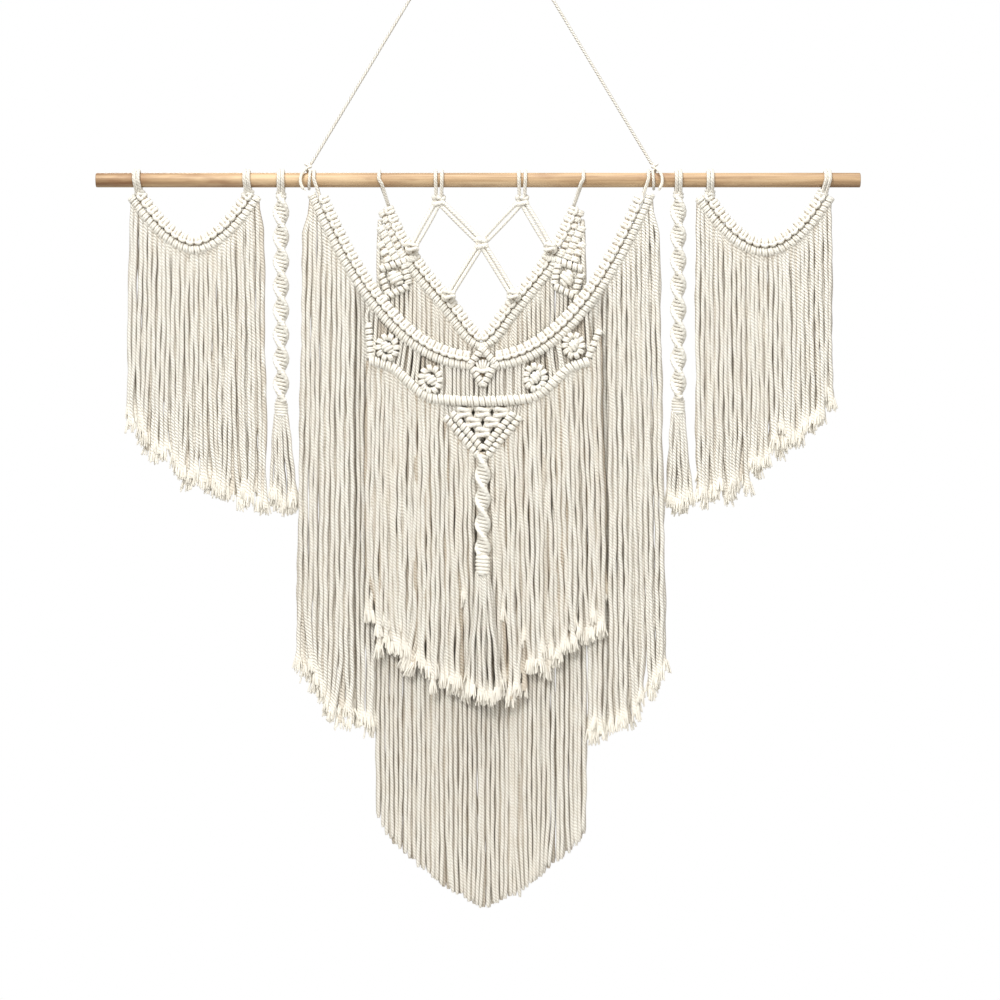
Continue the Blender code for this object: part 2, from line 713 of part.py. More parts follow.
def apron_fringe():
    """The lower bar of the apron, with the front fringe left and right of the triangle."""
    places = strand_places(*APRON_ENDS)
    sections = row_sections(places)
    upper, lower = apron_top(sections), beside(apron_top, sections, APRON_BAR_HEIGHT)
    bare = [(DIAMOND_X - TRIANGLE_HALF - 1.0, DIAMOND_X + TRIANGLE_HALF + 1.0)]
    tips = fringe_tips(places, *APRON_TIPS, APRON_TIP_DROPS, FRONT_Y, bare)
    solid("apron_fringe", knotted_row(sections, upper, lower, FRONT_Y, tips))


def apron_rosettes():
    for key, (x, drop, radius) in ROSETTES.items():
        solid("apron_rosette_" + key, rosette(x, drop, FRONT_Y - 1.5, radius, 7.0))


def apron_diamond():
    """The small diamond that joins the halves of the swag, with a many-cord square knot in it."""
    x = DIAMOND_X
    corners = [(x, 222.0), (x - 14.6, 243.0), (x, 267.5), (x + 14.6, 243.0)]
    frame = [
        ridged_bar(a, b, FRONT_Y, half_height=3.9) for a, b in zip(corners, corners[1:] + corners[:1])
    ]
    knot = wrapped_knot(x, FRONT_Y - 1.3, 231.7, 258.4, 10.2, 6.8, 3, sides=6)
    fused("apron_diamond", [knot, *frame])


def apron_triangle():
    """Three rows of square knots, and under them two sloping hitch rows with their own strands."""
    knots = []
    for count, drop, half_high in TRIANGLE_KNOTS:
        for k in range(count):
            x = DIAMOND_X + (k - (count - 1) / 2) * 18.8
            knots.append(
                wrapped_knot(x, FRONT_Y, drop - half_high, drop + half_high, 10.7, 5.4, 1, sides=6)
            )
    fused("apron_triangle", knots)

    places = strand_places(DIAMOND_X - TRIANGLE_HALF, DIAMOND_X + TRIANGLE_HALF)
    sections = row_sections(places)
    edge = TRIANGLE_APEX - TRIANGLE_SLOPE * np.abs(sections - DIAMOND_X)
    upper = np.maximum(edge + GAP, beside(apron_top, sections, APRON_BAR_HEIGHT) + 0.6)
    lower = np.maximum(edge + TRIANGLE_ROWS_HEIGHT, upper + 7)
    tips = [
        None
        if CENTRE_HOLE[0] < x < CENTRE_HOLE[1]
        else (x, FRONT_Y, float(smooth_table(APRON_TIP_DROPS, x)))
        for x in places
    ]
    solid("apron_triangle_fringe", knotted_row(sections, upper, lower, FRONT_Y, tips))


CENTRE_SPIRAL_TOP = 362.9
CENTRE_SPIRAL_END = 492.0
CENTRE_KNOT_END = 515.5
CENTRE_TASSEL_DROP = 682.0


def centre_spiral():
    spiral(
        "spiral_centre",
        DIAMOND_X,
        CENTRE_SPIRAL_Y,
        CENTRE_SPIRAL_TOP,
        CENTRE_SPIRAL_END - GAP,
        SPIRAL_HALF_WIDE,
        SPIRAL_HALF_DEEP,
        TWIST_PITCH,
        [],
    )
    tassel(
        "tassel_centre",
        DIAMOND_X,
        CENTRE_SPIRAL_Y - 2.0,
        CENTRE_SPIRAL_END,
        CENTRE_KNOT_END,
        9.6,
        (DIAMOND_X - 20.0, DIAMOND_X + 26.0),
        CENTRE_TASSEL_DROP,
        2.6,
    )


for existing in list(bpy.data.objects):
    bpy.data.objects.remove(existing)

dowel()
hanging_cord()
for side_name in SIDES:
    wing(side_name)
    side_spiral(side_name)
    swag_half(side_name)
    panel_arm(side_name)
    panel_side_fringe(side_name)
panel_fringe()
lattice()
apron_edges()
apron_fringe()
apron_rosettes()
apron_diamond()
apron_triangle()
centre_spiral()
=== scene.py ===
"""The looks of a macrame wall hanging: every knot, turn and strand of its cotton cord, its pine dowel and
the thin cord that it hangs by. Sizes are in millimetres up to the making of a mesh, which is in metres. A
"drop" is a distance below the dowel's axis, and the front faces -Y."""

import math

import bpy
import numpy as np
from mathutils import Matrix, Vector


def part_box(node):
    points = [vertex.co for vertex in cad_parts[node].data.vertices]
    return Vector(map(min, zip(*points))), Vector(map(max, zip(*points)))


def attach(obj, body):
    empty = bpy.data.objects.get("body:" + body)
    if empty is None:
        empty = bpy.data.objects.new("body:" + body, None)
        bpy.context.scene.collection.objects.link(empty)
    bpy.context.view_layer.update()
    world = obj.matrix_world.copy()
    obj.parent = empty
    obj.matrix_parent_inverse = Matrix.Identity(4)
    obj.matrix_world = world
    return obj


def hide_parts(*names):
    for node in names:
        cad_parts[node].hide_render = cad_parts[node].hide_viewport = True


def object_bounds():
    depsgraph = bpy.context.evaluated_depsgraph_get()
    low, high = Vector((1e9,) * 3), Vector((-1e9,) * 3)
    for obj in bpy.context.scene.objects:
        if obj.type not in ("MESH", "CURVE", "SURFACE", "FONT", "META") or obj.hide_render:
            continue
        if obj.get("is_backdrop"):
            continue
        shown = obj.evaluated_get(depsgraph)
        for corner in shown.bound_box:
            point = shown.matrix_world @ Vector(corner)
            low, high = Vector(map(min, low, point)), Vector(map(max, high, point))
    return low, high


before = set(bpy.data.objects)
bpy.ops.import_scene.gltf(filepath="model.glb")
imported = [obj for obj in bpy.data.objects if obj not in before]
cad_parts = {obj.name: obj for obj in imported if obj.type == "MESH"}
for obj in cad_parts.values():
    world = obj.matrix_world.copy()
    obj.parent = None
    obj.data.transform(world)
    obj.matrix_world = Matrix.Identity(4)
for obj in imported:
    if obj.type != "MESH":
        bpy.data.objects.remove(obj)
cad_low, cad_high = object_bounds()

# ---------------------------------------------------------------- studio
# A pale floor under the hanging, white surroundings and soft lights. The camera stands level and straight
# in front, with a long lens, and frames 1.309 m of width at the hanging's own distance.

MM = 0.001
rod_low, rod_high = (np.array(corner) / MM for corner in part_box("dowel"))
ROD_BELOW_TOP = -(rod_low[2] + rod_high[2]) / 2
VIEW_MIDDLE_X = 24.6
VIEW_MIDDLE_DROP = 418.7
VIEW_WIDTH = 1309.0
CAMERA_AWAY = 4200.0
FLOOR_BELOW_TIP = 0.38
FLOOR_RADIUS = 0.95
FLOOR_SIDES = 96
LAMP_TINT = (1.0, 0.99, 0.97)
LAMP_AIM = (0.0, 0.0, -0.85)
SKY_TINT = (1, 0.965, 0.905, 1)
SKY_STRENGTH = 0.43


def aimed(piece, stand, aim):
    """Puts a camera or a light at a place and turns it to look at another, both in metres."""
    piece.location = stand
    piece.rotation_euler = (Vector(aim) - Vector(stand)).to_track_quat("-Z", "Y").to_euler()
    bpy.context.scene.collection.objects.link(piece)


middle = (VIEW_MIDDLE_X * MM, 0.0, -(ROD_BELOW_TOP + VIEW_MIDDLE_DROP) * MM)
camera = bpy.data.objects.new("camera", bpy.data.cameras.new("camera"))
camera.data.lens = camera.data.sensor_width * CAMERA_AWAY / VIEW_WIDTH
camera.data.clip_end = 50.0
aimed(camera, (middle[0], -CAMERA_AWAY * MM, middle[2]), middle)
bpy.context.scene.camera = camera

for name, stand, size, power in (
    ("key", (-2.2, -4.0, 2.6), 2.0, 268.0),
    ("fill", (2.6, -4.6, -0.6), 3.2, 94.0),
    ("top", (0.2, -0.9, 2.2), 1.4, 62.0),
    ("rear", (-1.8, 4.0, 1.6), 3.0, 150.0),
):
    lamp = bpy.data.lights.new(name, "AREA")
    lamp.shape = "DISK"
    lamp.size = size
    lamp.energy = power
    lamp.color = LAMP_TINT
    aimed(bpy.data.objects.new(name, lamp), stand, LAMP_AIM)

world = bpy.data.worlds.new("white_surroundings")
world.use_nodes = True
bpy.context.scene.world = world
bpy.context.scene.view_settings.view_transform = "Standard"
sky = world.node_tree.nodes
seen, lit = sky["Background"], sky.new("ShaderNodeBackground")
seen.inputs["Color"].default_value = (1, 1, 1, 1)
lit.inputs["Color"].default_value = SKY_TINT
lit.inputs["Strength"].default_value = SKY_STRENGTH
either, ray = sky.new("ShaderNodeMixShader"), sky.new("ShaderNodeLightPath")
for start, end in (
    (ray.outputs["Is Camera Ray"], either.inputs[0]),
    (lit.outputs[0], either.inputs[1]),
    (seen.outputs[0], either.inputs[2]),
    (either.outputs[0], sky["World Output"].inputs[0]),
):
    world.node_tree.links.new(start, end)

turn = np.linspace(0, 2 * math.pi, FLOOR_SIDES, endpoint=False)
floor_z = cad_low[2] - FLOOR_BELOW_TIP
rim = np.stack([FLOOR_RADIUS * np.cos(turn), FLOOR_RADIUS * np.sin(turn), floor_z + 0 * turn], 1)
floor_mesh = bpy.data.meshes.new("floor")
floor_mesh.from_pydata(rim.tolist(), [], [tuple(range(FLOOR_SIDES))])
floor = bpy.data.objects.new("floor", floor_mesh)
bpy.context.scene.collection.objects.link(floor)
floor_paint = bpy.data.materials.new("floor_paint")
floor_paint.use_nodes = True
floor_shader = floor_paint.node_tree.nodes["Principled BSDF"]
floor_shader.inputs["Base Color"].default_value = (0.8, 0.8, 0.79, 1)
floor_shader.inputs["Roughness"].default_value = 0.7
floor_mesh.materials.append(floor_paint)
floor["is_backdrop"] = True

# ---------------------------------------------------------------- hanging cord
# A thin three-ply cotton cord, laid over the hanging point and knotted round the dowel at each end. Its
# two tails are left to fray in front of the dowel. All cotton here has one finish, made in this section.

ROD_RADIUS = 9.5
HANGER_CORD = 3.6
LAY = 13.0  # the length in which a ply goes once round its cord
TIE_X = {"left": -226.0, "right": 226.5}
TIE_KNOT_DROP = -16.3
CREST_RADIUS = 5.0
TAIL_RINGS = 24
SIDES = {"left": -1, "right": 1}
ACROSS, BACKWARDS, UPWARDS = np.eye(3)
chance = np.random.default_rng(21)


def place(x, y, drop):
    """Points from an X, a depth and a drop below the dowel's axis."""
    x, y, drop = np.broadcast_arrays(*(np.asarray(v, float) for v in (x, y, drop)))
    return np.stack([x, y, -(ROD_BELOW_TOP + drop)], axis=-1)


def unit(vectors):
    """Vectors of the same directions and of length 1."""
    return vectors / np.linalg.norm(vectors, axis=-1, keepdims=True)


def full_turn(count):
    """Even angles, once round."""
    return np.arange(count) * 2 * math.pi / count


def distances(points):
    """How far each point of a route lies from its first, along the route."""
    return np.concatenate([[0], np.cumsum(np.linalg.norm(np.diff(points, axis=0), axis=1))])


def smooth_table(rows, at):
    """A smooth curve through a table's rows (position, value): cubic, with the mean slope at each row."""
    where, value = np.array(rows, float).T
    slope = np.gradient(value, where)
    at = np.clip(at, where[0], where[-1])
    k = np.clip(np.searchsorted(where, at, side="right") - 1, 0, len(where) - 2)
    span = where[k + 1] - where[k]
    t = (at - where[k]) / span
    rise = value[k + 1] - value[k]
    bend_in = slope[k] * span - rise
    bend_out = rise - slope[k + 1] * span
    return value[k] + t * rise + t * (1 - t) * ((1 - t) * bend_in + t * bend_out)


def smooth_route(points, count):
    """`count` points, evenly spaced, along a smooth curve through a route's own points."""
    points = np.array(points, float)
    along = distances(points)
    fine = np.linspace(0, along[-1], 20 * count)
    axes = range(points.shape[1])
    curve = np.stack([smooth_table(np.stack([along, points[:, k]], 1), fine) for k in axes], 1)
    walked = distances(curve)
    even = np.linspace(0, walked[-1], count)
    return np.stack([np.interp(even, walked, curve[:, k]) for k in axes], 1)


def tubes(
    paths, radius, sides=8, closed=False, facing=(0, 1, 0), tone=0.5, fray=0.0, lobes=0.0, flat=1.0, ply=1.0
):
    """Cords carried along paths, as whole arrays: one path is (points, 3), several are (paths, points, 3).

    Each point gets a ring, point + radius * (cos a * side + flat * sin a * front) for a round a full turn.
    `front` is `facing` made square to the path, and `side` is square to both. Where `facing` is None the
    path turns about `side`. `lobes` swells the ring by cos 3(a + a turn for each lay), as three plies do,
    and `ply` is how much of the plies shows in the finish. A cord's tone is how warm and dark it is, and
    above 1 it is painted shade, which darkens cords hidden behind others towards brown. `fray` is how far
    its yarns are loosened."""
    paths = np.asarray(paths, float)
    paths = paths if paths.ndim == 3 else paths[None]
    count, length = paths.shape[:2]
    step = np.roll(paths, -1, 1) - np.roll(paths, 1, 1) if closed else np.gradient(paths, axis=1)
    way = unit(step)
    axis = np.linalg.eigh(np.einsum("pni,pnj->pij", way, way))[1][:, :, 0] if facing is None else facing
    axis = np.broadcast_to(axis, (count, 3))[:, None]
    front = unit(axis - (axis * way).sum(-1, keepdims=True) * way)
    side = np.cross(front, way)
    if facing is None:
        front, side = side, -front
    ends = np.concatenate([paths, paths[:, :1]], 1) if closed else paths
    walked = np.cumsum(np.linalg.norm(np.diff(ends, axis=1), axis=-1), axis=1) / LAY
    walked = np.concatenate([np.zeros((count, 1)), walked], 1) + chance.random((count, 1))

    ring = full_turn(sides)
    swell = 1 + lobes * np.cos(3 * (ring + 2 * math.pi * walked[:, :length, None]))
    reach = np.broadcast_to(radius, (count, length))[..., None] * swell
    wide = (reach * np.cos(ring))[..., None] * side[:, :, None]
    flat = np.broadcast_to(flat, (count, length))[..., None]
    deep = (reach * flat * np.sin(ring))[..., None] * front[:, :, None]
    points = paths[:, :, None] + wide + deep

    index = np.arange(count * length * sides).reshape(count, length, sides)
    here, after = (index, np.roll(index, -1, 1)) if closed else (index[:, :-1], index[:, 1:])
    quads = np.stack([here, np.roll(here, -1, 2), np.roll(after, -1, 2), after], -1)
    u = np.arange(sides + 1) / sides
    u = np.broadcast_to(np.stack([u[:-1], u[1:], u[1:], u[:-1]], -1), quads.shape)
    v = np.stack([walked[:, :-1], walked[:, :-1], walked[:, 1:], walked[:, 1:]], -1)[:, :, None]
    uv = np.stack([u, np.broadcast_to(v, quads.shape)], -1)
    quads, uv = quads.reshape(-1, 4), uv.reshape(-1, 4, 2)
    if not closed:
        k = np.arange(sides // 2 - 1)
        strip = np.stack([k, k + 1, sides - 2 - k, sides - 1 - k], -1)
        caps = np.concatenate([index[:, -1][:, strip], index[:, 0][:, strip[:, ::-1]]]).reshape(-1, 4)
        quads = np.concatenate([quads, caps])
        uv = np.concatenate([uv, np.zeros((len(caps), 4, 2))])
    shades = {"tone": np.reshape(tone, (-1, 1)), "fray": fray, "ply": ply}
    shades = {key: np.repeat(np.broadcast_to(w, (count, length)), sides) for key, w in shades.items()}
    return {"points": points.reshape(-1, 3), "quads": quads, "uv": uv, **shades}


class Wire:
    """One value in a finish. Arithmetic on it adds Math nodes, and `node` adds any other node."""

    def __init__(self, tree, socket=None):
        self.tree = tree
        self.socket = socket

    def node(self, kind, settings=None, inputs=None, output=0):
        """A new node: its settings are set first, then its sockets get their values or links."""
        made = self.tree.nodes.new(kind)
        for key, value in (settings or {}).items():
            if key == "stops":
                while len(made.color_ramp.elements) < len(value):
                    made.color_ramp.elements.new(0.5)
                for stop, (position, colour) in zip(made.color_ramp.elements, value):
                    stop.position = position
                    stop.color = (*colour, 1)
            else:
                setattr(made, key, value)
        for key, value in (inputs or {}).items():
            if isinstance(value, Wire):
                self.tree.links.new(value.socket, made.inputs[key])
            else:
                made.inputs[key].default_value = value
        return Wire(self.tree, made.outputs[output])

    def math(self, operation, *values, clamp=False):
        settings = {"operation": operation, "use_clamp": clamp}
        return self.node("ShaderNodeMath", settings, dict(enumerate(values)))

    def __add__(self, other):
        return self.math("ADD", self, other)

    def __sub__(self, other):
        return self.math("SUBTRACT", self, other)

    def __rsub__(self, other):
        return self.math("SUBTRACT", other, self)

    def __mul__(self, other):
        return self.math("MULTIPLY", self, other)

    def __pow__(self, other):
        return self.math("POWER", self, other)

    __radd__ = __add__
    __rmul__ = __mul__

    def noise(self, vector, scale, detail=2.0):
        inputs = {"Vector": vector, "Scale": scale, "Detail": detail}
        return self.node("ShaderNodeTexNoise", {}, inputs)

    def bumped(self, strength, distance):
        """The normals of a surface that is raised by this value."""
        inputs = {"Height": self, "Strength": strength, "Distance": distance}
        return self.node("ShaderNodeBump", {}, inputs)

    def into(self, shader, name):
        """Leads this value to a socket of the shader."""
        self.tree.links.new(self.socket, shader.inputs[name])

    def span(self, low, high):
        """This value's place between two others, held from 0 to 1."""
        return self.math("MULTIPLY", self - low, 1 / (high - low), clamp=True)

    def mixed(self, first, second, blend="MIX"):
        """A colour this far on the way from one to another."""
        settings = {"data_type": "RGBA", "blend_type": blend}
        return self.node("ShaderNodeMix", settings, {0: self, 6: first, 7: second}, 2)


def started(name, constants):
    """A new finish, as its material, its first wire and its Principled shader with its constant values."""
    material = bpy.data.materials.new(name)
    material.use_nodes = True
    shader = material.node_tree.nodes["Principled BSDF"]
    for key, value in constants.items():
        shader.inputs[key].default_value = value
    return material, Wire(material.node_tree), shader


COTTON_LIGHT = (0.86, 0.85, 0.792, 1)
COTTON_WARM = (0.785, 0.747, 0.668, 1)
# the brown of painted shade in grooves, between cords and on hidden cords; brushed yarn streaks darken to it
# too
COTTON_SHADE = (0.27, 0.18, 0.085, 1)
COTTON_BRUSHED = (0.82, 0.785, 0.705, 1)
COTTON_FLUFF = (0.86, 0.835, 0.765, 1)


def cotton_finish():
    """Natural three-ply cotton: slanting plies, which show less in tight knots, mottled yarn and pale brushed
    ends, with painted brown shade in every groove, on both sides of a cord where it meets its neighbours,
    and on cords hidden behind others."""
    matte = {"Roughness": 0.92, "Specular IOR Level": 0.2, "Sheen Weight": 0.12, "Sheen Roughness": 0.6}
    material, wire, shader = started("cotton", matte)
    around = wire.node("ShaderNodeUVMap", {"uv_map": "cord"})
    u, v = (wire.node("ShaderNodeSeparateXYZ", {}, {"Vector": around}, k) for k in (0, 1))
    tone, fray, ply = (
        wire.node("ShaderNodeAttribute", {"attribute_name": key}, {}, 2) for key in ("tone", "fray", "ply")
    )
    spot = wire.node("ShaderNodeTexCoord", {}, {}, 3)

    from_ridge = wire.math("ABSOLUTE", wire.math("FRACT", 3 * (u + v)) * 2 - 1)
    # Painted shade: ply grooves, a cord's sides against its neighbours and hidden cords turn brown.
    groove_shade = from_ridge**2.0 * (1 - fray) * ply
    contact_shade = wire.math("ABSOLUTE", wire.math("COSINE", u * 2 * math.pi)) ** 7 * (1 - fray)
    yarn = wire.node("ShaderNodeCombineXYZ", {}, {0: (u + v) * 60, 1: v * 14 - u * 20})
    hair = wire.node("ShaderNodeCombineXYZ", {}, {0: u * 26, 1: v * 1.6})
    fibres = wire.noise(yarn, 1.0, 3.0) * (1 - fray) + wire.noise(hair, 1.0, 2.0) * fray
    mottle = wire.noise(spot, 55.0, 3.0).span(0.38, 0.66)
    patch = wire.noise(spot, 190.0, 2.0).span(0.42, 0.68)
    warm = mottle * 0.40 + patch * 0.25 + wire.math("MINIMUM", tone, 1.0) * 0.45 - 0.12
    colour = wire.math("MULTIPLY", warm, 1.0, clamp=True).mixed(COTTON_LIGHT, COTTON_WARM)
    colour = fray.span(0.82, 1.0).mixed(fray.mixed(colour, COTTON_BRUSHED), COTTON_FLUFF)
    # painted shade on cords hidden behind others, from a tone above 1
    hidden_shade = wire.math("MAXIMUM", tone - 1, 0.0)
    streak = fray * fibres.span(0.35, 0.75)
    shade = groove_shade * 0.38 + contact_shade * 0.30 + hidden_shade + streak * 0.24
    colour = wire.math("MINIMUM", shade, 0.9).mixed(colour, COTTON_SHADE)
    colour.into(shader, "Base Color")
    height = (1 - from_ridge**2) * (1 - fray) * ply + fibres * (0.35 - fray * 0.3)
    height.bumped(1.0, 0.0013).into(shader, "Normal")
    return material


cotton = cotton_finish()


def corded(name, shapes, node, finish=cotton):
    """One piece from shapes in millimetres, which stands for the solid of its name in the frame."""
    starts = np.cumsum([0] + [len(s["points"]) for s in shapes])[:-1]
    points = np.concatenate([s["points"] for s in shapes]) * MM
    quads = np.concatenate([s["quads"] + start for s, start in zip(shapes, starts)])
    mesh = bpy.data.meshes.new(name)
    mesh.vertices.add(len(points))
    mesh.vertices.foreach_set("co", points.ravel())
    mesh.loops.add(quads.size)
    mesh.loops.foreach_set("vertex_index", quads.ravel())
    mesh.polygons.add(len(quads))
    mesh.polygons.foreach_set("loop_start", np.arange(len(quads)) * 4)
    mesh.update(calc_edges=True)
    uv = np.concatenate([s["uv"] for s in shapes])
    mesh.uv_layers.new(name="cord").data.foreach_set("uv", uv.ravel())
    for key in ("tone", "fray", "ply"):
        values = np.concatenate([s[key] for s in shapes])
        mesh.attributes.new(key, "FLOAT", "POINT").data.foreach_set("value", values)
    mesh.shade_smooth()
    mesh.materials.append(finish)
    piece = bpy.data.objects.new(name, mesh)
    bpy.context.scene.collection.objects.link(piece)
    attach(piece, "root")
    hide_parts(node)
    return piece


def turns(middle, wide, deep, lean, radius, steps=14, sides=6, tone=0.5, square=2.3):
    """Closed turns of cord round a core: middle + c * (wide + lean) + s * deep, with c and s the cosine and
    sine of a full turn, squared off a little. What is given has one row for each turn, or one for all."""
    angle = math.pi / 2 + full_turn(steps)
    c, s = (np.sign(w) * np.abs(w) ** (2 / square) for w in (np.cos(angle), np.sin(angle)))
    middle, wide, deep, lean = (np.atleast_2d(w)[:, None] for w in (middle, wide, deep, lean))
    paths = middle + c[:, None] * (wide + lean) + s[:, None] * deep
    radius = np.reshape(radius, (-1, 1)) if np.ndim(radius) else radius
    return tubes(paths, radius, sides, closed=True, facing=None, tone=tone, ply=0.3)


def yarn_ends(tips, way, reach, count=13, long=17.0, thick=1.0):
    """The loosened yarns of cut ends: thin pointed locks that leave each cord above its tip and fan out.

    start + share of the length along `way` + outwards * reach * share to the power 1.3."""
    reach = np.repeat(np.broadcast_to(reach, len(tips)), count)
    tips, way = np.repeat(tips, count, 0), np.repeat(way, count, 0)
    angle = chance.random(len(tips)) * 2 * math.pi
    out = np.stack([np.cos(angle), 0.45 * np.sin(angle), np.zeros(len(tips))], 1)
    out = out * (reach * np.sqrt(0.05 + 0.95 * chance.random(len(tips))))[:, None]
    length = long * (0.8 + 0.4 * chance.random(len(tips)))
    share = np.array([0.0, 0.06, 0.92, 1.0])[:, None]
    start = tips - way * long * 0.75 + out * 0.6
    paths = start[:, None] + way[:, None] * length[:, None, None] * share
    paths = paths + 0.5 * out[:, None] * share**1.3
    tone = 0.3 * chance.random(len(tips))
    return tubes(paths, thick * np.array([0.9, 1.0, 1.0, 0.7]), 4, facing=(0.3, 1, 0), tone=tone, fray=1.0)


legs = []
for side, sign in SIDES.items():
    knot_top = np.array([TIE_X[side] - sign * 3.7, 0.0, -(ROD_BELOW_TOP + TIE_KNOT_DROP) + 5.2])
    shoulder = np.array([sign * CREST_RADIUS, 0.0, -CREST_RADIUS * 0.75])
    legs.append([knot_top + (shoulder - knot_top) * t for t in (0, 0.25, 0.5, 0.75, 0.96, 1)])
hanger_route = smooth_route(legs[0] + [np.array([0.0, 0.0, 0.0])] + legs[1][::-1], 900)
hanger_length = distances(hanger_route)[-1]
shapes = [tubes(hanger_route, HANGER_CORD / 2, lobes=0.1)]
hanger = corded("hanging_cord_line", shapes, "hanging_cord")

for side, sign in SIDES.items():
    x = TIE_X[side]
    middle = place(x + sign * np.array([1.0, 0.2, -1.4]), 0, TIE_KNOT_DROP - np.array([3.2, 0.0, -3.2]))
    half = np.array([[2.9], [3.2], [2.6]])
    lean = sign * np.array([[1.4], [-1.8], [1.2]]) * UPWARDS
    knot = turns(middle, half * ACROSS, half * BACKWARDS, lean, 1.75, tone=[0.3, 0.6, 0.4])
    core = place(x + sign * np.array([1.6, 0, -3.2]), 0, TIE_KNOT_DROP + np.array([5, 0, -6]))
    core = tubes(core, 2.2, facing=None)
    radius = ROD_RADIUS + HANGER_CORD / 2 + 0.35
    angle = np.radians(np.linspace(80, 460, 60))
    around = place(x + sign * np.linspace(-2.6, 1.2, 60), radius * np.cos(angle), -radius * np.sin(angle))
    over = tubes(around, HANGER_CORD / 2, 8, facing=(1, 0, 0), lobes=0.1, tone=0.1, ply=0.5)
    tail_x = x + sign * np.array([1.0, 5.0, 8.6, 9.8, 9.0, 6.2])
    tail_route = place(tail_x, [-2, -9.0, -13.2, -14.4, -14.6, -13.8], [TIE_KNOT_DROP, -12, -6, 1, 7, 12.5])
    tail_route = smooth_route(tail_route, TAIL_RINGS)
    swell = np.interp(np.arange(TAIL_RINGS), [0, 15, 20, 23], [1.8, 1.9, 2.1, 1.9])
    fray = np.linspace(0, 1, TAIL_RINGS) ** 2
    tail = tubes(tail_route, swell, 8, facing=(1, 0, 0), tone=0.1, fray=fray, ply=0.5)
    way = unit(tail_route[-1:] - tail_route[-4:-3])
    ends = yarn_ends(tail_route[-1:], way, 2.2, 12, 8.0, 0.5)
    shapes = [knot, core, over, tail, ends]
    corded(f"hanging_tie_{side}_knot", shapes, f"hanging_tie_{side}")

# ---------------------------------------------------------------- dowel
# A round pine rod, one metre long and 19 mm thick, sawn square at its ends and only sanded. The loops of
# the knotted work lie over it, and the thin cord is tied round it at two places.

ROD_RINGS = 220
ROD_SIDES = 48
ROD_CHAMFER = 0.7


def wood_finish():
    """Sanded pine: long pale and tawny streaks along X, a few red-brown flecks, and a darker tint near both
    ends."""
    satin = {"Specular IOR Level": 0.5, "Coat Weight": 0.22, "Coat Roughness": 0.45}
    material, wire, shader = started("pine", satin)
    spot = wire.node("ShaderNodeTexCoord", {}, {}, 3)
    long, cloud, drift = (
        wire.node("ShaderNodeMapping", {}, {"Vector": spot, "Scale": scale})
        for scale in ((0.035, 1.0, 1.0), (0.28, 1.0, 1.0), (1.0, 0.3, 0.3))
    )
    grain = wire.noise(long, 420.0, 4.0)
    streak = wire.noise(long, 95.0, 2.0).span(0.35, 0.68)
    drift = wire.noise(drift, 7.0)
    blush = wire.noise(cloud, 62.0, 3.0).span(0.54, 0.74)
    along = wire.node("ShaderNodeSeparateXYZ", {}, {"Vector": spot})
    near_end = wire.math("ABSOLUTE", along).span(0.30, 0.51)
    shade = streak * 0.45 + grain.span(0.3, 0.75) * 0.38 + drift.span(0.3, 0.7) * 0.3 + near_end * 0.42 - 0.15
    stops = (
        (0.0, (0.60, 0.445, 0.27)),
        (0.5, (0.43, 0.285, 0.152)),
        (1.0, (0.18, 0.088, 0.034)),
    )
    colour = wire.node("ShaderNodeValToRGB", {"stops": stops}, {0: shade})
    colour = (blush * (0.5 + near_end * 0.45)).mixed(colour, (0.20, 0.085, 0.032, 1))
    colour.into(shader, "Base Color")
    (0.42 + grain * 0.25).into(shader, "Roughness")
    grain.bumped(0.25, 0.0004).into(shader, "Normal")
    return material


x = np.linspace(rod_low[0] + ROD_CHAMFER, rod_high[0] - ROD_CHAMFER, ROD_RINGS)
uneven = ROD_RADIUS * (1 + 0.006 * np.sin(x / 61) + 0.004 * np.sin(x / 23 + 2))
x = np.concatenate([[rod_low[0]], x, [rod_high[0]]])
uneven = np.concatenate([[ROD_RADIUS - ROD_CHAMFER], uneven, [ROD_RADIUS - ROD_CHAMFER]])
rod = tubes(place(x, 0, 0), uneven, ROD_SIDES)
dowel = corded("dowel_rod", [rod], "dowel", wood_finish())
dowel.data.set_sharp_from_angle(angle=math.radians(35.0))

# ---------------------------------------------------------------- wings
# Two small bows, one near each end of the dowel. Cords are folded in half over a holding cord as lark's
# heads, hitched again over a second cord just below, and left to hang as a fringe with brushed ends.

CORD = 5.2
UPPER_ROW, LOWER_ROW = -6.8, 6.0  # how far a bow's two rows lie below its line
BOW_TOP, ROW_TOP, STRAND_TOP = 15.0, 18.0, 20.0  # the least drop of a bow, of a row and of a strand's root
TURN_THICK = 0.265  # the radius of a knot's turn, as a share of the knots' pitch
WING_Y = 0.0
WING_LOOP_DROP = 21.0
WING = {  # middle X, half width, drop at the ends, sag and power of the bow; ends of the rows and fringe
    "left": {
        "line": (-375.5, 80.0, 15.0, 70.5, 1.75),
        "fringe": (-459.5, -285.5),
        "rows": (-453.5, -297.5),
        "loops": ((-450.8, -447.1), (-307.0, -304.0)),
        "tips": (-466.0, -280.0),
        "tip_drops": ((-467, 312), (-430, 360), (-379, 401), (-322, 423), (-279, 437)),
    },
    "right": {
        "line": (371.0, 84.0, 15.0, 73.5, 1.9),
        "fringe": (281.0, 458.5),
        "rows": (289.5, 452.5),
        "loops": ((299.5, 299.5), (453.0, 447.5)),
        "tips": (281.5, 461.0),
        "tip_drops": ((280, 428), (311, 423), (333, 413), (361, 390), (384, 367), (427, 339), (462, 298)),
    },
}


def hung_line(middle_x, half, end_drop, sag, power):
    """The drop along a cord hung in a bow between two ends: deepest in its middle, never above the dowel."""
    return lambda x: np.maximum(end_drop + sag * (1 - np.abs((x - middle_x) / half) ** power), BOW_TOP)


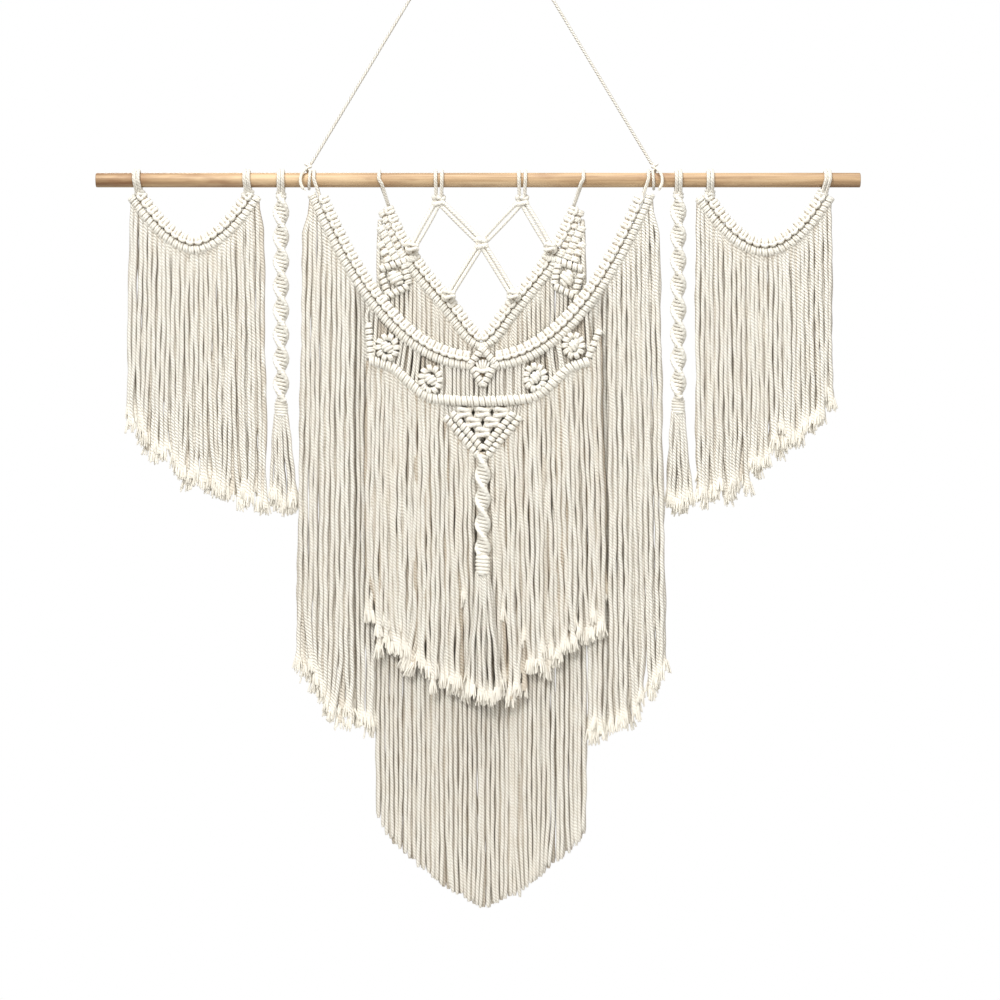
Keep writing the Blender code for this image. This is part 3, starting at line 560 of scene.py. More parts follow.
def slope_of(line, x):
    """How far a line falls in each millimetre at each X."""
    return line(x + 0.5) - line(x - 0.5)


def at_depth(spots, y):
    """Points in space from (X, drop) places and a depth."""
    return place(spots[..., 0], y, spots[..., 1])


def across(way):
    """Steps across a route, from the steps along it."""
    return np.stack([-way[..., 1], way[..., 0]], -1)


def evenly(first, last, count):
    """The middles of equal steps from one value to another."""
    return first + (np.arange(count) + 0.5) * (last - first) / count


def beside(line, first, last, offset, count=160):
    """A row's middle as (X, drop) points: a line moved square to itself by an offset."""
    x = np.linspace(first, last, count)
    slope = slope_of(line, x)
    size = np.sqrt(1 + slope**2)
    drop = np.maximum(line(x) + offset / size, ROW_TOP)
    return np.stack([x - offset * slope / size, drop], 1)


def steepness(route):
    """0 where a route runs level and 1 where it runs upright, for each of its points."""
    way = unit(np.gradient(route, axis=0))
    return way[:, 1] ** 2


def spaced(route, pitch):
    """Places for knots along a route at a pitch, the unit step there and the distance between them."""
    step = np.linalg.norm(np.diff(route, axis=0), axis=1)
    pitch = np.broadcast_to(pitch, len(route))
    knots = np.concatenate([[0], np.cumsum(2 * step / (pitch[1:] + pitch[:-1]))])
    at = evenly(0, knots[-1], max(1, round(knots[-1])))
    spot, ahead, behind = (
        np.stack([np.interp(at + past, knots, route[:, k]) for k in (0, 1)], 1) for past in (0.0, 0.4, -0.4)
    )
    return spot, unit(ahead - behind), np.linalg.norm(ahead - behind, axis=1) / 0.8


def flat_on(vectors):
    """Vectors across the face, given as (X, drop), in the frame's own axes."""
    return np.stack([vectors[:, 0], np.zeros(len(vectors)), -vectors[:, 1]], 1)


def holding_cord(route, y, radius):
    """The cord that a row is knotted over, which ends a little inside its last knots."""
    # darkened brown with painted shade, as it shows only in the shaded joints between knots
    return tubes(at_depth(route[4:-4:6], y), radius, tone=1.5)


def hitches(route, y, half=6.4, half_deep=6.2, pitch=7.6, slant=0.7, tone=0.0, paired=0.02):
    """A row of double half hitches along a route: for each strand two slanting turns round a cord, which lie
    closer to each other than to the next by `paired`."""
    steep = steepness(route)
    spot, way, gap = spaced(route, pitch - 0.2 * steep)
    loose = np.interp(np.arange(len(spot)), np.linspace(0, len(spot) - 1, len(route)), steep)
    pair = np.repeat([-1.0, 1.0], len(spot))
    spot, way, gap, loose = (np.concatenate([w, w]) for w in (spot, way, gap, loose))
    count = len(spot)
    spot = spot + (pair * gap * (0.24 - paired - 0.03 * loose))[:, None] * way
    thick = gap * (TURN_THICK + 0.02 * loose) * (1 + 0.05 * chance.standard_normal(count))
    wobble = 1 + 0.035 * chance.standard_normal((count, 1))
    each = 0.1 + 0.35 * chance.random(count // 2)
    loops = turns(
        at_depth(spot, y + 0.2 * chance.standard_normal(count)),
        flat_on(across(way)) * (half - thick)[:, None] * wobble,
        BACKWARDS * (half_deep - thick)[:, None] * wobble,
        flat_on(way) * slant * (1 + 0.2 * chance.standard_normal((count, 1))),
        thick,
        tone=tone + np.tile(each, 2),
        square=2.1,
    )
    return [loops, holding_cord(route, y, half - 2.4)]


def larks_heads(route, y, half=7.2, half_deep=6.2):
    """A row of lark's heads: for each folded cord two upright turns and, over their foot, its own fold."""
    steep = steepness(route)
    spot, way, gap = spaced(route, 9.7 + 2.8 * steep)
    count = len(spot)
    down = across(way)
    down = down * np.sign(down[:, 1:] + 1e-9)
    pair = np.repeat([-1.0, 1.0], count)[:, None]
    spots, ways, gaps = np.tile(spot, (2, 1)), np.tile(way, (2, 1)), np.tile(gap, 2)[:, None]
    spots = spots + pair * 0.22 * gaps * ways
    thick = TURN_THICK * gaps
    wobble = 1 + 0.04 * chance.standard_normal((2 * count, 1))
    tone = 0.25 + 0.35 * chance.random(count)
    legs = turns(
        at_depth(spots, y),
        flat_on(np.tile(down, (2, 1))) * (half - thick) * wobble,
        BACKWARDS * (half_deep - thick) * wobble,
        flat_on(ways) * pair * 0.35,
        thick,
        tone=np.tile(tone, 2),
        square=2.6,
    )
    share = np.linspace(-1, 1, 9)
    sink = half - 2.3 - 2.2 * share**2
    bar = spot[:, None] + (gap[:, None] * 0.42 * share)[..., None] * way[:, None]
    bar = at_depth(bar + sink[:, None] * down[:, None], y - half_deep + 0.7 + 2.6 * share**4)
    fold = tubes(bar, 2.6 - 0.6 * share**4, 6, tone=tone, ply=0.3)
    return [legs, fold, holding_cord(route, y, half - 2.6)]


def between(upper, lower, y, pitch=5.4):
    """The strands that run on from the knots of one row into those of the next, seen only in the joint."""
    count = max(2, round(distances(upper)[-1] / pitch))
    at = np.linspace(0, len(upper) - 1, count).astype(int)
    start, end = upper[at], lower[at * (len(lower) - 1) // (len(upper) - 1)]
    both = np.stack([start, (start + end) / 2, end], 1)
    # darkened brown with painted shade, the shade of the joint between the two rows
    return tubes(at_depth(both, y + 0.5), 3.0, 6, tone=1.75)


def rod_loop(x_over, x_below, below_y, below_drop, thick=CORD / 2, apart=2.4, gap=0.25):
    """A cord that passes over the dowel: taut round its top, both legs running down into one knot, where
    they lie `apart` before and behind its middle."""
    radius = ROD_RADIUS + thick + gap
    lean = []
    for leg in (-1, 1):
        y, z = below_y + leg * apart, -below_drop
        lean.append(math.atan2(z, y) + leg * math.acos(radius / math.hypot(y, z)))
    angle = np.linspace(lean[0] % (2 * math.pi), lean[1], 40)
    shift = (x_below - x_over) * np.maximum(0, -np.sin(angle)) * 0.6
    over = np.stack([x_over + shift, radius * np.cos(angle), -radius * np.sin(angle)], 1)
    ends = [np.array([x_below, below_y + leg * apart, below_drop]) for leg in (-1, 1)]
    path = np.concatenate([ends[0] + (over[0] - ends[0]) * np.linspace(0, 0.9, 8)[:, None], over])
    path = np.concatenate([path, over[-1] + (ends[1] - over[-1]) * np.linspace(0.1, 1, 8)[:, None]])
    return tubes(place(*path.T), thick, 8, facing=(1, 0, 0), lobes=0.08, tone=0.1, ply=0.5)


def rod_loops(x_over, x_below, below_y, below_drop, thick=CORD / 2 - 0.15):
    """Two loops side by side, and the two level turns that bind their legs."""
    pair = [rod_loop(x_over + s * 2.5, x_below + s * 2.5, below_y, below_drop, thick) for s in (-1, 1)]
    middle = place(x_below, below_y, [below_drop - 6.6, below_drop - 2.6])
    return [*pair, turns(middle, 5.2 * ACROSS, 5.6 * BACKWARDS, -0.9 * UPWARDS, 2.2, tone=0.1)]


def strand_places(first, last, pitch, jitter=0.45):
    """The X of each strand of a fringe between two ends, near a pitch."""
    even = evenly(first, last, round((last - first) / pitch))
    return even + jitter * chance.standard_normal(len(even))


def under_row(line, x):
    """The drop of a lower row's own middle at each X, where its strands leave it."""
    return np.maximum(line(x) + LOWER_ROW * np.sqrt(1 + slope_of(line, x) ** 2), STRAND_TOP)


YARNS_PAST_CORD = 8.0  # how far the loosened yarns hang below the end of their cord
FINE_END = 30.0  # the length above each end that is shaped in short steps
SETTLED = 40.0  # the length under the row in which a strand reaches its own depth
LEANING = 80.0  # the length above the end in which neighbours lean together
LOOSENED = 24.0  # the length above the end in which the twist opens


def strands(
    x, drop, tip_x, tip_drop, y, tip_y, radius=2.8, sides=8, gather=0.55, tone=0.3, brush=1, root=None, wave=1
):
    """Cords that hang from a row to their cut ends, as one shape, with the loose yarns of the ends.

    X and depth run smoothly from top to tip, with slow and short waves added, each a sine of the length
    walked. A root beside its X is made up for before the strand has settled. Near the ends neighbours lean
    together in twos and threes by a share `gather`, and each end opens like a brush, or is cut clean where
    `brush` is 0. `wave` scales the waves."""
    count = len(x)
    root = x if root is None else root
    given = (x, drop, tip_x, tip_drop, y, tip_y, root)
    given = [np.broadcast_to(np.asarray(w, float), count)[:, None] for w in given]
    x, drop, tip_x, tip_drop, y, tip_y, root = given
    length = tip_drop - (YARNS_PAST_CORD if brush else 0.0) - drop
    rings = max(8, int(length.max() / 8.5))
    down = (length - FINE_END) * np.linspace(0, 1, rings) ** 0.95
    fine = np.array([0.25, 0.45, 0.62, 0.78, 0.9, 0.97, 1.0])
    down = np.concatenate([down, length - FINE_END * (1 - fine)], 1)
    t = down / length
    settle = np.clip(down / SETTLED, 0, 1)
    settle = settle**2 * (3 - 2 * settle)
    phase = 2 * math.pi * chance.random((5, count, 1))
    long = 2 * math.pi / (140 + 130 * chance.random((count, 1)))
    short = 2 * math.pi / (40 + 36 * chance.random((count, 1)))
    sideways = wave * (0.85 * np.sin(down * long + phase[0]) + 0.42 * np.sin(down * short + phase[1]))
    forwards = wave * (0.7 * np.sin(down * long * 1.3 + phase[2]) + 0.3 * np.sin(down * short + phase[3]))
    group = np.cumsum((chance.random(count) < 0.42) | (np.diff(x[:, 0], prepend=x[0]) > 12))
    crowd = np.array([tip_x[group == g].mean() for g in group])[:, None]
    close = np.clip((down - length + LEANING) / LEANING, 0, 1) ** 1.7
    path_x = x + (tip_x - x) * t**0.9 + sideways * settle + gather * (crowd - tip_x) * close
    path_x = path_x + (root - x) * (1 - settle)
    path_y = y + (tip_y - y) * settle + forwards * settle
    path = place(path_x, path_y, drop + down)

    loose = np.clip((down - length + LOOSENED) / LOOSENED, 0, 1)
    flare = brush * (0.45 + 0.85 * chance.random((count, 1)))
    swell = radius * (1 + flare * loose**1.8) * (1 + 0.05 * np.sin(down * short * 1.4 + phase[4]))
    swell = swell * (1 + 0.04 * chance.standard_normal((count, 1)))
    swell = swell * np.interp(down - length, [-6.0, 0.0], [1.0, 0.6])
    each = tone + 0.32 * chance.standard_normal(count)
    tone = np.clip(each, 0, max(1.0, tone + 0.1))
    loose = loose if brush else 0 * loose
    cord = tubes(path, swell, sides, tone=tone, fray=0.8 * loose**0.8, flat=1 - 0.5 * loose)
    if not brush:
        return [cord]
    way = unit(path[:, -1] - path[:, -5])
    return [cord, yarn_ends(path[:, -1] + way * 3.0, way, radius * (1 + flare[:, 0]) * 1.3)]


def spread_tips(x, first, last, tip_first, tip_last):
    """The X of the tips: the roots between two ends, stretched to lie between two others."""
    return tip_first + (x - first) / (last - first) * (tip_last - tip_first)


def ragged(drops, x, size=5.2, short=16.0):
    """A fringe's ends at each X: its lower edge, less a few millimetres that differ from strand to strand,
    with a few strands shorter still."""
    short = short * (chance.random(len(x)) < 0.08)
    return smooth_table(drops, x) + size * (chance.standard_normal(len(x)) - 0.9) - short


def layered(first, last, layers, keep=None, wander=0.7):
    """Each layer of a fringe in turn: the X of its strands, how far behind their row the tips hang, and what
    its cords are like. A layer is given as its pitch, depth, radius, sides and tone; a tone above 1 paints
    the layer's cords with brown shade, as for cords hanging behind others."""
    for pitch, behind, thick, sides, tone in layers:
        x = strand_places(first, last, pitch)
        x = x[keep(x)] if keep else x
        behind = behind + wander * chance.standard_normal(len(x))
        yield x, behind, {"radius": thick, "sides": sides, "tone": tone}


# The back layer's tone above 1 darkens its cords with painted shade.
WING_LAYERS = ((6.0, -0.8, 2.8, 8, 0.25), (5.6, 3.4, 3.45, 6, 1.12))

for side, spec in WING.items():
    line = hung_line(*spec["line"])
    upper, lower = (beside(line, *spec["rows"], offset) for offset in (UPPER_ROW, LOWER_ROW))
    shapes = larks_heads(upper, WING_Y)
    for over, below in spec["loops"]:
        shapes += rod_loops(over, below, WING_Y, WING_LOOP_DROP)
    corded(f"wing_{side}_heads", shapes, f"wing_{side}_mount")

    first, last = spec["fringe"]
    shapes = hitches(lower, WING_Y) + [between(upper[8:-8], lower[8:-8], WING_Y)]
    for x, behind, cord in layered(first, last, WING_LAYERS):
        tip_x = spread_tips(x, first, last, *spec["tips"])
        tips = ragged(spec["tip_drops"], tip_x)
        root = np.clip(x, lower[0, 0] + 1, lower[-1, 0] - 1)
        top = under_row(line, root) + 1.5 * np.abs(x - root)
        shapes += strands(x, top, tip_x, tips, WING_Y, WING_Y + behind, root=root, **cord)
    corded(f"wing_{side}_strands", shapes, f"wing_{side}_fringe")

# ---------------------------------------------------------------- side spirals
# On each side a double loop over the dowel runs into a sinnet of half knots, which turns as it is tied. A
# cord wrapped round its end gathers the strands into a tassel.

SIDE_SPIRAL = {  # X of the sinnet and of its wrapped knot, drops, ends of the tassel's spread
    "left": {"x": -262.0, "top": 16.0, "bottom": 291.0, "knot_end": 309.0, "tips": (-277.0, -239.0)},
    "right": {"x": 258.0, "top": 16.0, "bottom": 287.0, "knot_end": 305.5, "tips": (241.0, 277.0)},
}
SPIRAL_LOOP_DROP = 24.0
TWIST_PITCH = 32.0  # the length in which a sinnet makes half a turn
HALF_KNOT = 5.3
SIDE_TASSEL_Y = 2.5
SIDE_TASSEL_DROP = 434.0


def half_knots(middle, wide, deep, fall, thick, tone):
    """Half knots: each a turn round the filler cords whose front and back bars both fall to one side.

    middle + c * wide + s * deep, with c and s the cosine and sine of a full turn, and lowered by
    fall * c * tanh(-2.5 s), so that it falls across the front and across the back."""
    angle = full_turn(20) + 0.1
    c, s = np.cos(angle)[:, None], np.sin(angle)[:, None]
    middle, wide, deep = (np.atleast_2d(w)[:, None] for w in (middle, wide, deep))
    fall = np.broadcast_to(fall, len(middle))[:, None, None] * UPWARDS
    paths = middle + c * wide + s * deep + fall * c * np.tanh(2.5 * s)
    radius = np.reshape(thick, (-1, 1)) * (1 + 0.2 * np.cos(angle) ** 4)
    return tubes(paths, radius, closed=True, facing=None, tone=tone, ply=0.35)


def sinnet(x, y, top, bottom, phase, half_wide=9.8, half_deep=5.6):
    """A sinnet of half knots, one below the other and each turned a little further than the last, with the
    two working cords that run down its edges from knot to knot and so wind round it."""
    count = round((bottom - top) / HALF_KNOT)
    drop = evenly(top, bottom, count)
    angle = math.pi * (drop - top) / TWIST_PITCH + phase
    thick = 2.4 * (1 + 0.05 * chance.standard_normal(count))
    wide, deep = half_wide - thick, half_deep - thick
    knots = half_knots(
        place(x, y, drop),
        np.stack([np.cos(angle), np.sin(angle), np.zeros(count)], 1) * wide[:, None],
        np.stack([-np.sin(angle), np.cos(angle), np.zeros(count)], 1) * deep[:, None],
        1.2,
        thick,
        0.35 * chance.random(count),
    )
    drop = np.linspace(top, bottom, 6 * count)
    angle = math.pi * (drop - top) / TWIST_PITCH + phase
    near_end = np.minimum(1, 0.6 + 0.4 * np.minimum(drop - top, bottom - drop) / 8)
    reach = (half_wide - 2.2) * near_end * np.array([[-1], [1]])
    edges = place(x + reach * np.cos(angle), y + reach * np.sin(angle), drop)
    swell = 3.1 * (1 + 0.07 * np.cos(2 * math.pi * np.arange(6 * count) / 6))
    # The filler cords inside are darkened brown with painted shade.
    filler = place(x, y, np.linspace(top - 4, bottom + 4, 40))
    return [knots, tubes(edges, swell, tone=0.05, ply=0.35), tubes(filler, 4.2, tone=1.4)]


def gathering_knot(x, y, top, bottom, half_wide=9.4, count=5):
    """A cord wrapped tightly round a bundle: level turns one below the other round a smooth core."""
    thick = 0.54 * (bottom - top) / count
    drop = evenly(top, bottom, count)
    reach = (half_wide - thick) * (1 - 0.05 * np.abs(np.linspace(-1, 1, count)))[:, None]
    tone = 0.15 + 0.25 * chance.random(count)
    wide, deep, lean = ACROSS * reach, 0.9 * BACKWARDS * reach, -0.7 * UPWARDS
    wraps = turns(place(x, y, drop), wide, deep, lean, thick, steps=24, sides=7, tone=tone, square=2.0)
    core = place(x, y, np.linspace(top - 2, bottom + 2, 6))
    return [wraps, tubes(core, half_wide - 2.2, 12)]


def tassel_strands(x, y, top, tips, tip_drop):
    """The strands below a wrapped knot, in three rows from front to back, spreading to brushed tips."""
    shapes = []
    for count, row, tone in ((5, -1, 0.15), (6, 0, 0.9), (5, 1, 0.3)):
        share = np.linspace(-1, 1, count) * (1 - 0.1 * abs(row)) + 0.06 * chance.standard_normal(count)
        tip_x = (tips[0] + tips[1]) / 2 + (tips[1] - tips[0] - 8) / 2 * share
        tip_y = y + 4.2 * row + 0.6 * chance.standard_normal(count)
        ends = tip_drop - 9 * share**2 + 4.0 * chance.standard_normal(count)
        root_y = y + 4.6 * row * (1 - 0.5 * share**2)
        cord = {"radius": 2.45, "gather": 0.15, "tone": tone, "wave": 1.6}
        shapes += strands(x + 6.6 * share, top - 3, tip_x, ends, root_y, tip_y, **cord)
    return shapes


for side, spec in SIDE_SPIRAL.items():
    x = spec["x"]
    shapes = rod_loops(x, x, 0.0, SPIRAL_LOOP_DROP) + sinnet(x, 0.0, spec["top"] + 3, spec["bottom"], 0.9)
    corded(f"spiral_{side}_sinnet", shapes, f"spiral_{side}")
    shapes = gathering_knot(x, SIDE_TASSEL_Y, spec["bottom"], spec["knot_end"])
    shapes += tassel_strands(x, SIDE_TASSEL_Y, spec["knot_end"], spec["tips"], SIDE_TASSEL_DROP)
    corded(f"tassel_{side}_strands", shapes, f"tassel_{side}")

# ---------------------------------------------------------------- swag
# The big bow in front, hung by one cord at each end and made in two halves that meet at a small diamond.
# Its outer strands hang free at the sides, and the inner ones run down into the apron's lower bar.

FRONT_Y = -7.0
SWAG_LINE = hung_line(0.0, 217.0, 15.0, 223.0, 2.25)
SWAG_INNER, SWAG_UPPER_END, SWAG_LOWER_END = 17.0, 213.5, 216.5  # X of the ends of both rows
SWAG_LOOP = (218.5, 210.5, 24.0, 2.2)  # X over the dowel and below it, drop of its foot, radius
DIAMOND_X = 2.0
SIDE_FRINGE = (140.0, 232.0)
SIDE_TIPS = (138.0, 242.0)
SIDE_TIP_DROPS = ((140, 738), (178, 721), (200, 704), (225, 672), (246, 645))
APRON_TOP_DROPS = (
    (0, 283), (45, 281), (68, 277), (80, 269), (92, 258.5), (111, 241.5), (130, 233.5), (160, 228),
)
ROSETTES = {  # X, drop, half width and half height of each round of knots in the apron
    "outer_left": (-122.5, 219.5, 16.0, 18.5),
    "inner_left": (-66.0, 261.5, 16.5, 19.5),
    "inner_right": (70.5, 258.8, 16.5, 19.5),
    "outer_right": (120.5, 217.0, 15.5, 18.0),
}
SIDE_LIFT = {"left": 8.0, "right": -2.0}
# The back layer's tone above 1 darkens its cords with painted shade.
SIDE_LAYERS = ((6.0, -0.6, 2.8, 8, 0.2), (5.6, 3.6, 3.45, 6, 1.12))
TUCKED_X, TUCKED_Y = 168.0, 8.5  # strands inside this X hang this much further back, behind the apron
# The back layer's tone above 1 darkens its strands with painted shade.
LINK_LAYERS = ((5.7, 0.0, 0.2), (4.8, 4.2, 1.1))  # pitch, depth and tone of the strands inside the bow
LINK_LEAN = ((20, 0.0), (60, 0.0), (85, 5.0), (105, 7.0), (140, 4.0))  # X, and how far they run outwards


def straight_table(rows, at):
    """Straight lines through a table's rows (position, value)."""
    return np.interp(at, *np.transpose(rows))


def apron_top(x):
    """The drop of the upper edge of the apron's lower bar."""
    return smooth_table(APRON_TOP_DROPS, np.abs(x))


def mirrored(route, sign):
    """A route on the right-hand side, or the same on the left."""
    return route * np.array([sign, 1.0])


def links(sign):
    """The strands inside one half of the bow, which bend a little on their way down to the apron's bar. The
    front ones leave the rosettes free."""
    shapes = []
    for pitch, behind, tone in LINK_LAYERS:
        x = strand_places(sign * DIAMOND_X, SIDE_FRINGE[0], pitch)
        inside = [np.abs(sign * x - middle_x) < half - 3 for middle_x, _, half, _ in ROSETTES.values()]
        x = x[~np.any(inside, axis=0)] if behind == 0 else x
        lean = straight_table(LINK_LEAN, x)
        below_diamond = 267.0 - 1.6 * np.abs(x - sign * DIAMOND_X)
        top, foot = np.maximum(under_row(SWAG_LINE, x), below_diamond), apron_top(x + lean) + 6
        t = np.linspace(0, 1, 8)
        bend = np.sin(math.pi * t) * chance.standard_normal((len(x), 2, 1))
        link_x = x[:, None] + lean[:, None] * t + bend[:, 0]
        link_drop = top[:, None] + (foot - top)[:, None] * t
        each = tone + 0.25 * chance.random(len(x))
        routes = place(sign * link_x, FRONT_Y + behind + 0.8 * bend[:, 1], link_drop)
        shapes.append(tubes(routes, 2.4, tone=each))
    return shapes


for side, sign in SIDES.items():
    inner = SWAG_INNER + sign * DIAMOND_X
    upper = mirrored(beside(SWAG_LINE, inner, SWAG_UPPER_END, UPPER_ROW), sign)
    lower = mirrored(beside(SWAG_LINE, inner - 3, SWAG_LOWER_END, LOWER_ROW), sign)
    over, below, drop, thick = SWAG_LOOP
    shapes = larks_heads(upper, FRONT_Y)
    shapes.append(rod_loop(sign * over, sign * below, FRONT_Y, drop, thick))
    corded(f"swag_{side}_heads", shapes, f"swag_{side}_mount")

    shapes = hitches(lower, FRONT_Y) + [between(upper[:-8], lower[:-8], FRONT_Y)]
    for x, behind, cord in layered(*SIDE_FRINGE, SIDE_LAYERS):
        tip_x = spread_tips(x, *SIDE_FRINGE, *SIDE_TIPS)
        tips = ragged(SIDE_TIP_DROPS, tip_x) - SIDE_LIFT[side]
        deep = np.where(x < TUCKED_X, FRONT_Y + TUCKED_Y, FRONT_Y) + behind
        root = np.minimum(x, np.abs(lower[:, 0]).max() - 1)
        top = under_row(SWAG_LINE, root) + 1.5 * (x - root)
        shapes += strands(sign * x, top, sign * tip_x, tips, FRONT_Y, deep, root=sign * root, **cord)
    corded(f"swag_{side}_strands", shapes + links(sign), f"swag_{side}_fringe")

# ---------------------------------------------------------------- V panel
# Behind the swag: two arms of lark's heads and hitches that cross at the middle. Near the top each arm
# opens into a fan of hitched bars and a knotted frame with a berry knot. The long back fringe hangs from
# both arms, and its ends are cut clean to a point.

BACK_Y = 7.0
PANEL_EDGE_DROPS = (
    (0, 212), (9, 207), (18, 198), (31, 180.5), (51, 155.5), (80, 120.5), (91, 105.5), (101, 89),
    (112, 72.5), (119, 57), (126, 42.5), (131, 29),
)
PANEL_ARM = (1.5, 128.5)
PANEL_LOOP = (133.5, 121.5, 33.0, 2.3)
PANEL_TIP_DROPS = ((0, 955), (24, 942), (50, 930), (76, 908), (105, 883), (124, 862), (142, 836))
PANEL_POINT_X = 6.0
# The back layer's tone above 1 darkens its cords with painted shade.
PANEL_LAYERS = ((6.0, -0.5, 2.6, 8, 0.9), (5.6, 3.2, 3.3, 6, 1.24))
PANEL_HALF, PANEL_SIDE = 96.0, 137.5  # half widths of the fringe under the V, and with its side strands
SIDE_ROOTS = ((96, 112), (106, 104), (124, 104), (130, 84), (134, 52), (138, 42))
CUT_CLEAN = {"gather": 0.2, "brush": 0, "wave": 0.7}
FAN_BARS = (  # upper and lower end of each hitch row, as X and drop
    ((131.0, 38.5), (103.5, 97.5)),
    ((133.0, 60.0), (111.8, 104.0)),
    ((133.5, 80.0), (121.0, 108.0)),
)
FRAME_BARS = (  # the four bars round the arm's berry knot
    ((133.0, 116.5), (84.0, 100.0)),
    ((101.0, 109.0), (95.0, 137.0)),
    ((128.0, 155.0), (95.0, 138.0)),
    ((131.5, 122.0), (122.0, 150.0)),
)
BERRY = (112.0, 128.0)


def panel_line(x):
    """The drop of the line between the two rows of the V's arms."""
    return smooth_table(PANEL_EDGE_DROPS, np.abs(x))


def panel_tips(x):
    """The drop of the back fringe's cut ends, which come to a point beside the middle."""
    return ragged(PANEL_TIP_DROPS, np.abs(x - PANEL_POINT_X), 1.6, 0.0)


def straight(start, end, count=40):
    """Even points from one (X, drop) place to another."""
    start, end = np.array(start, float), np.array(end, float)
    return start + np.linspace(0, 1, count)[:, None] * (end - start)


def berry(x, y, drop, half, high, deep, tilt):
    """A berry knot: four slanting turns, smaller above and below, gathered into a ball."""
    at = np.linspace(-1, 1, 4)
    size = np.sqrt(1.25 - at**2)
    thick = high * 0.29
    aside, below = math.sin(tilt), math.cos(tilt)
    step = (high - thick) * at
    return turns(
        place(x + aside * step, y, drop + below * step),
        np.stack([below * size, 0 * size, aside * size], 1) * (half - thick),
        np.stack([0 * size, size, 0 * size], 1) * (deep - thick),
        (aside, 0, -below),
        thick,
        steps=16,
        sides=8,
        tone=0.1 + 0.3 * chance.random(4),
        square=2.0,
    )


def bars(ends, y, sign, half=5.4, pitch=7.2):
    """Short hitch rows, each between two (X, drop) places on the right or their mirror images."""
    shapes = []
    for k, pair in enumerate(ends):
        shapes += hitches(mirrored(straight(*pair), sign), y - 0.3 * k, half, 5.6, pitch=pitch, paired=0.055)
    return shapes


for side, sign in SIDES.items():
    upper = mirrored(beside(panel_line, *PANEL_ARM, UPPER_ROW), sign)
    over, below, drop, thick = PANEL_LOOP
    shapes = larks_heads(upper, BACK_Y)
    shapes.append(rod_loop(sign * over, sign * below, BACK_Y, drop, thick))
    corded(f"panel_{side}_heads", shapes, f"panel_{side}_mount")
    corded(f"panel_{side}_fan_bars", bars(FAN_BARS, BACK_Y, sign, 6.2, 9.0), f"panel_{side}_fan")

    x, drop = BERRY
    shapes = bars(FRAME_BARS, BACK_Y - 2.5, sign, 5.4)
    shapes.append(berry(sign * x, BACK_Y - 3, drop, 9.6, 10.4, 8.0, -0.6 * sign))
    corded(f"panel_{side}_rosette_knots", shapes, f"panel_{side}_rosette")

    shapes = []
    for x, behind, cord in layered(PANEL_HALF, PANEL_SIDE, PANEL_LAYERS):
        top, tips = straight_table(SIDE_ROOTS, x), panel_tips(sign * x)
        cord = {**cord, **CUT_CLEAN, "root": sign * np.minimum(x, PANEL_SIDE - 5)}
        shapes += strands(sign * x, top, sign * (x + 1), tips, BACK_Y + 2, BACK_Y + behind, **cord)
    corded(f"panel_{side}_side_strands", shapes, f"panel_{side}_side_fringe")

shapes = []
for sign in SIDES.values():
    upper, lower = (beside(panel_line, -3.0, 100.0, offset) for offset in (UPPER_ROW, LOWER_ROW))
    shapes += hitches(mirrored(lower, sign), BACK_Y - 0.4 * sign)
    shapes.append(between(mirrored(upper[12:], sign), mirrored(lower[12:], sign), BACK_Y))
for x, behind, cord in layered(-PANEL_HALF, PANEL_HALF, PANEL_LAYERS):
    top, tips = under_row(panel_line, x), panel_tips(x)
    shapes += strands(x, top, x * 1.01, tips, BACK_Y, BACK_Y + behind, **cord, **CUT_CLEAN)
corded("panel_strands", shapes, "panel_fringe")

# ---------------------------------------------------------------- lattice
# An open net of doubled cords between the arms, tied with square knots where the cords meet, two of them
# hung from the dowel, and seated in the arms by small collars.

LATTICE_Y = -4.1
LATTICE_TOP_Y = -3.0
LATTICE_KNOT = {  # X, drop, half width, half height of the square knots
    "left": (-55.5, 27.0, 9.5, 7.0),
    "right": (53.5, 27.0, 9.5, 7.0),
    "middle": (0.5, 83.0, 9.5, 7.5),
}
LATTICE_SEATS = {"upper": (89.5, 88.0), "lower": (41.5, 150.0)}
LATTICE_SEAT_KNOT = (8.5, 5.5, 5.6)  # half width, half height and half depth
LATTICE_LOOP_DROP = 26.0
LATTICE_CORD = 2.75


def square_knot(x, y, drop, half_wide, half_high, half_deep=6.0, tone=0.2):
    """A square knot: flat half knots about the filler cords that fall one way, the other way and back."""
    at = np.array([-0.52, 0.52])
    thick = half_high * 0.46
    knots = half_knots(
        place(x, y, drop + at * half_high),
        ACROSS * (half_wide - 1.15 * thick),
        BACKWARDS * (half_deep - thick),
        np.array([1.6, -1.6]),
        thick,
        tone + 0.15 * chance.random(2),
    )
    # The filler cords behind are darkened brown with painted shade.
    fill = place(x, y, drop + half_high * np.array([-1.0, 0.0, 1.0]))
    return [knots, tubes(fill, half_wide * 0.55, tone=1.3, flat=0.5)]


def doubled(start, start_y, end):
    """Two cords side by side from one (X, drop) place to another, each bowed out a little in its middle."""
    way = unit(end - start)
    aside = across(way) * (LATTICE_CORD - 0.1)
    t = np.linspace(0, 1, 60)
    shapes = []
    for s in (-1, 1):
        bow = s * (1 + 0.3 * np.sin(math.pi * t) * chance.random())
        line = start + t[:, None] * (end - start) + bow[:, None] * aside
        path = at_depth(line, start_y + (LATTICE_Y - start_y) * t)
        shapes.append(tubes(path, LATTICE_CORD, tone=0.3, ply=0.4))
    return shapes


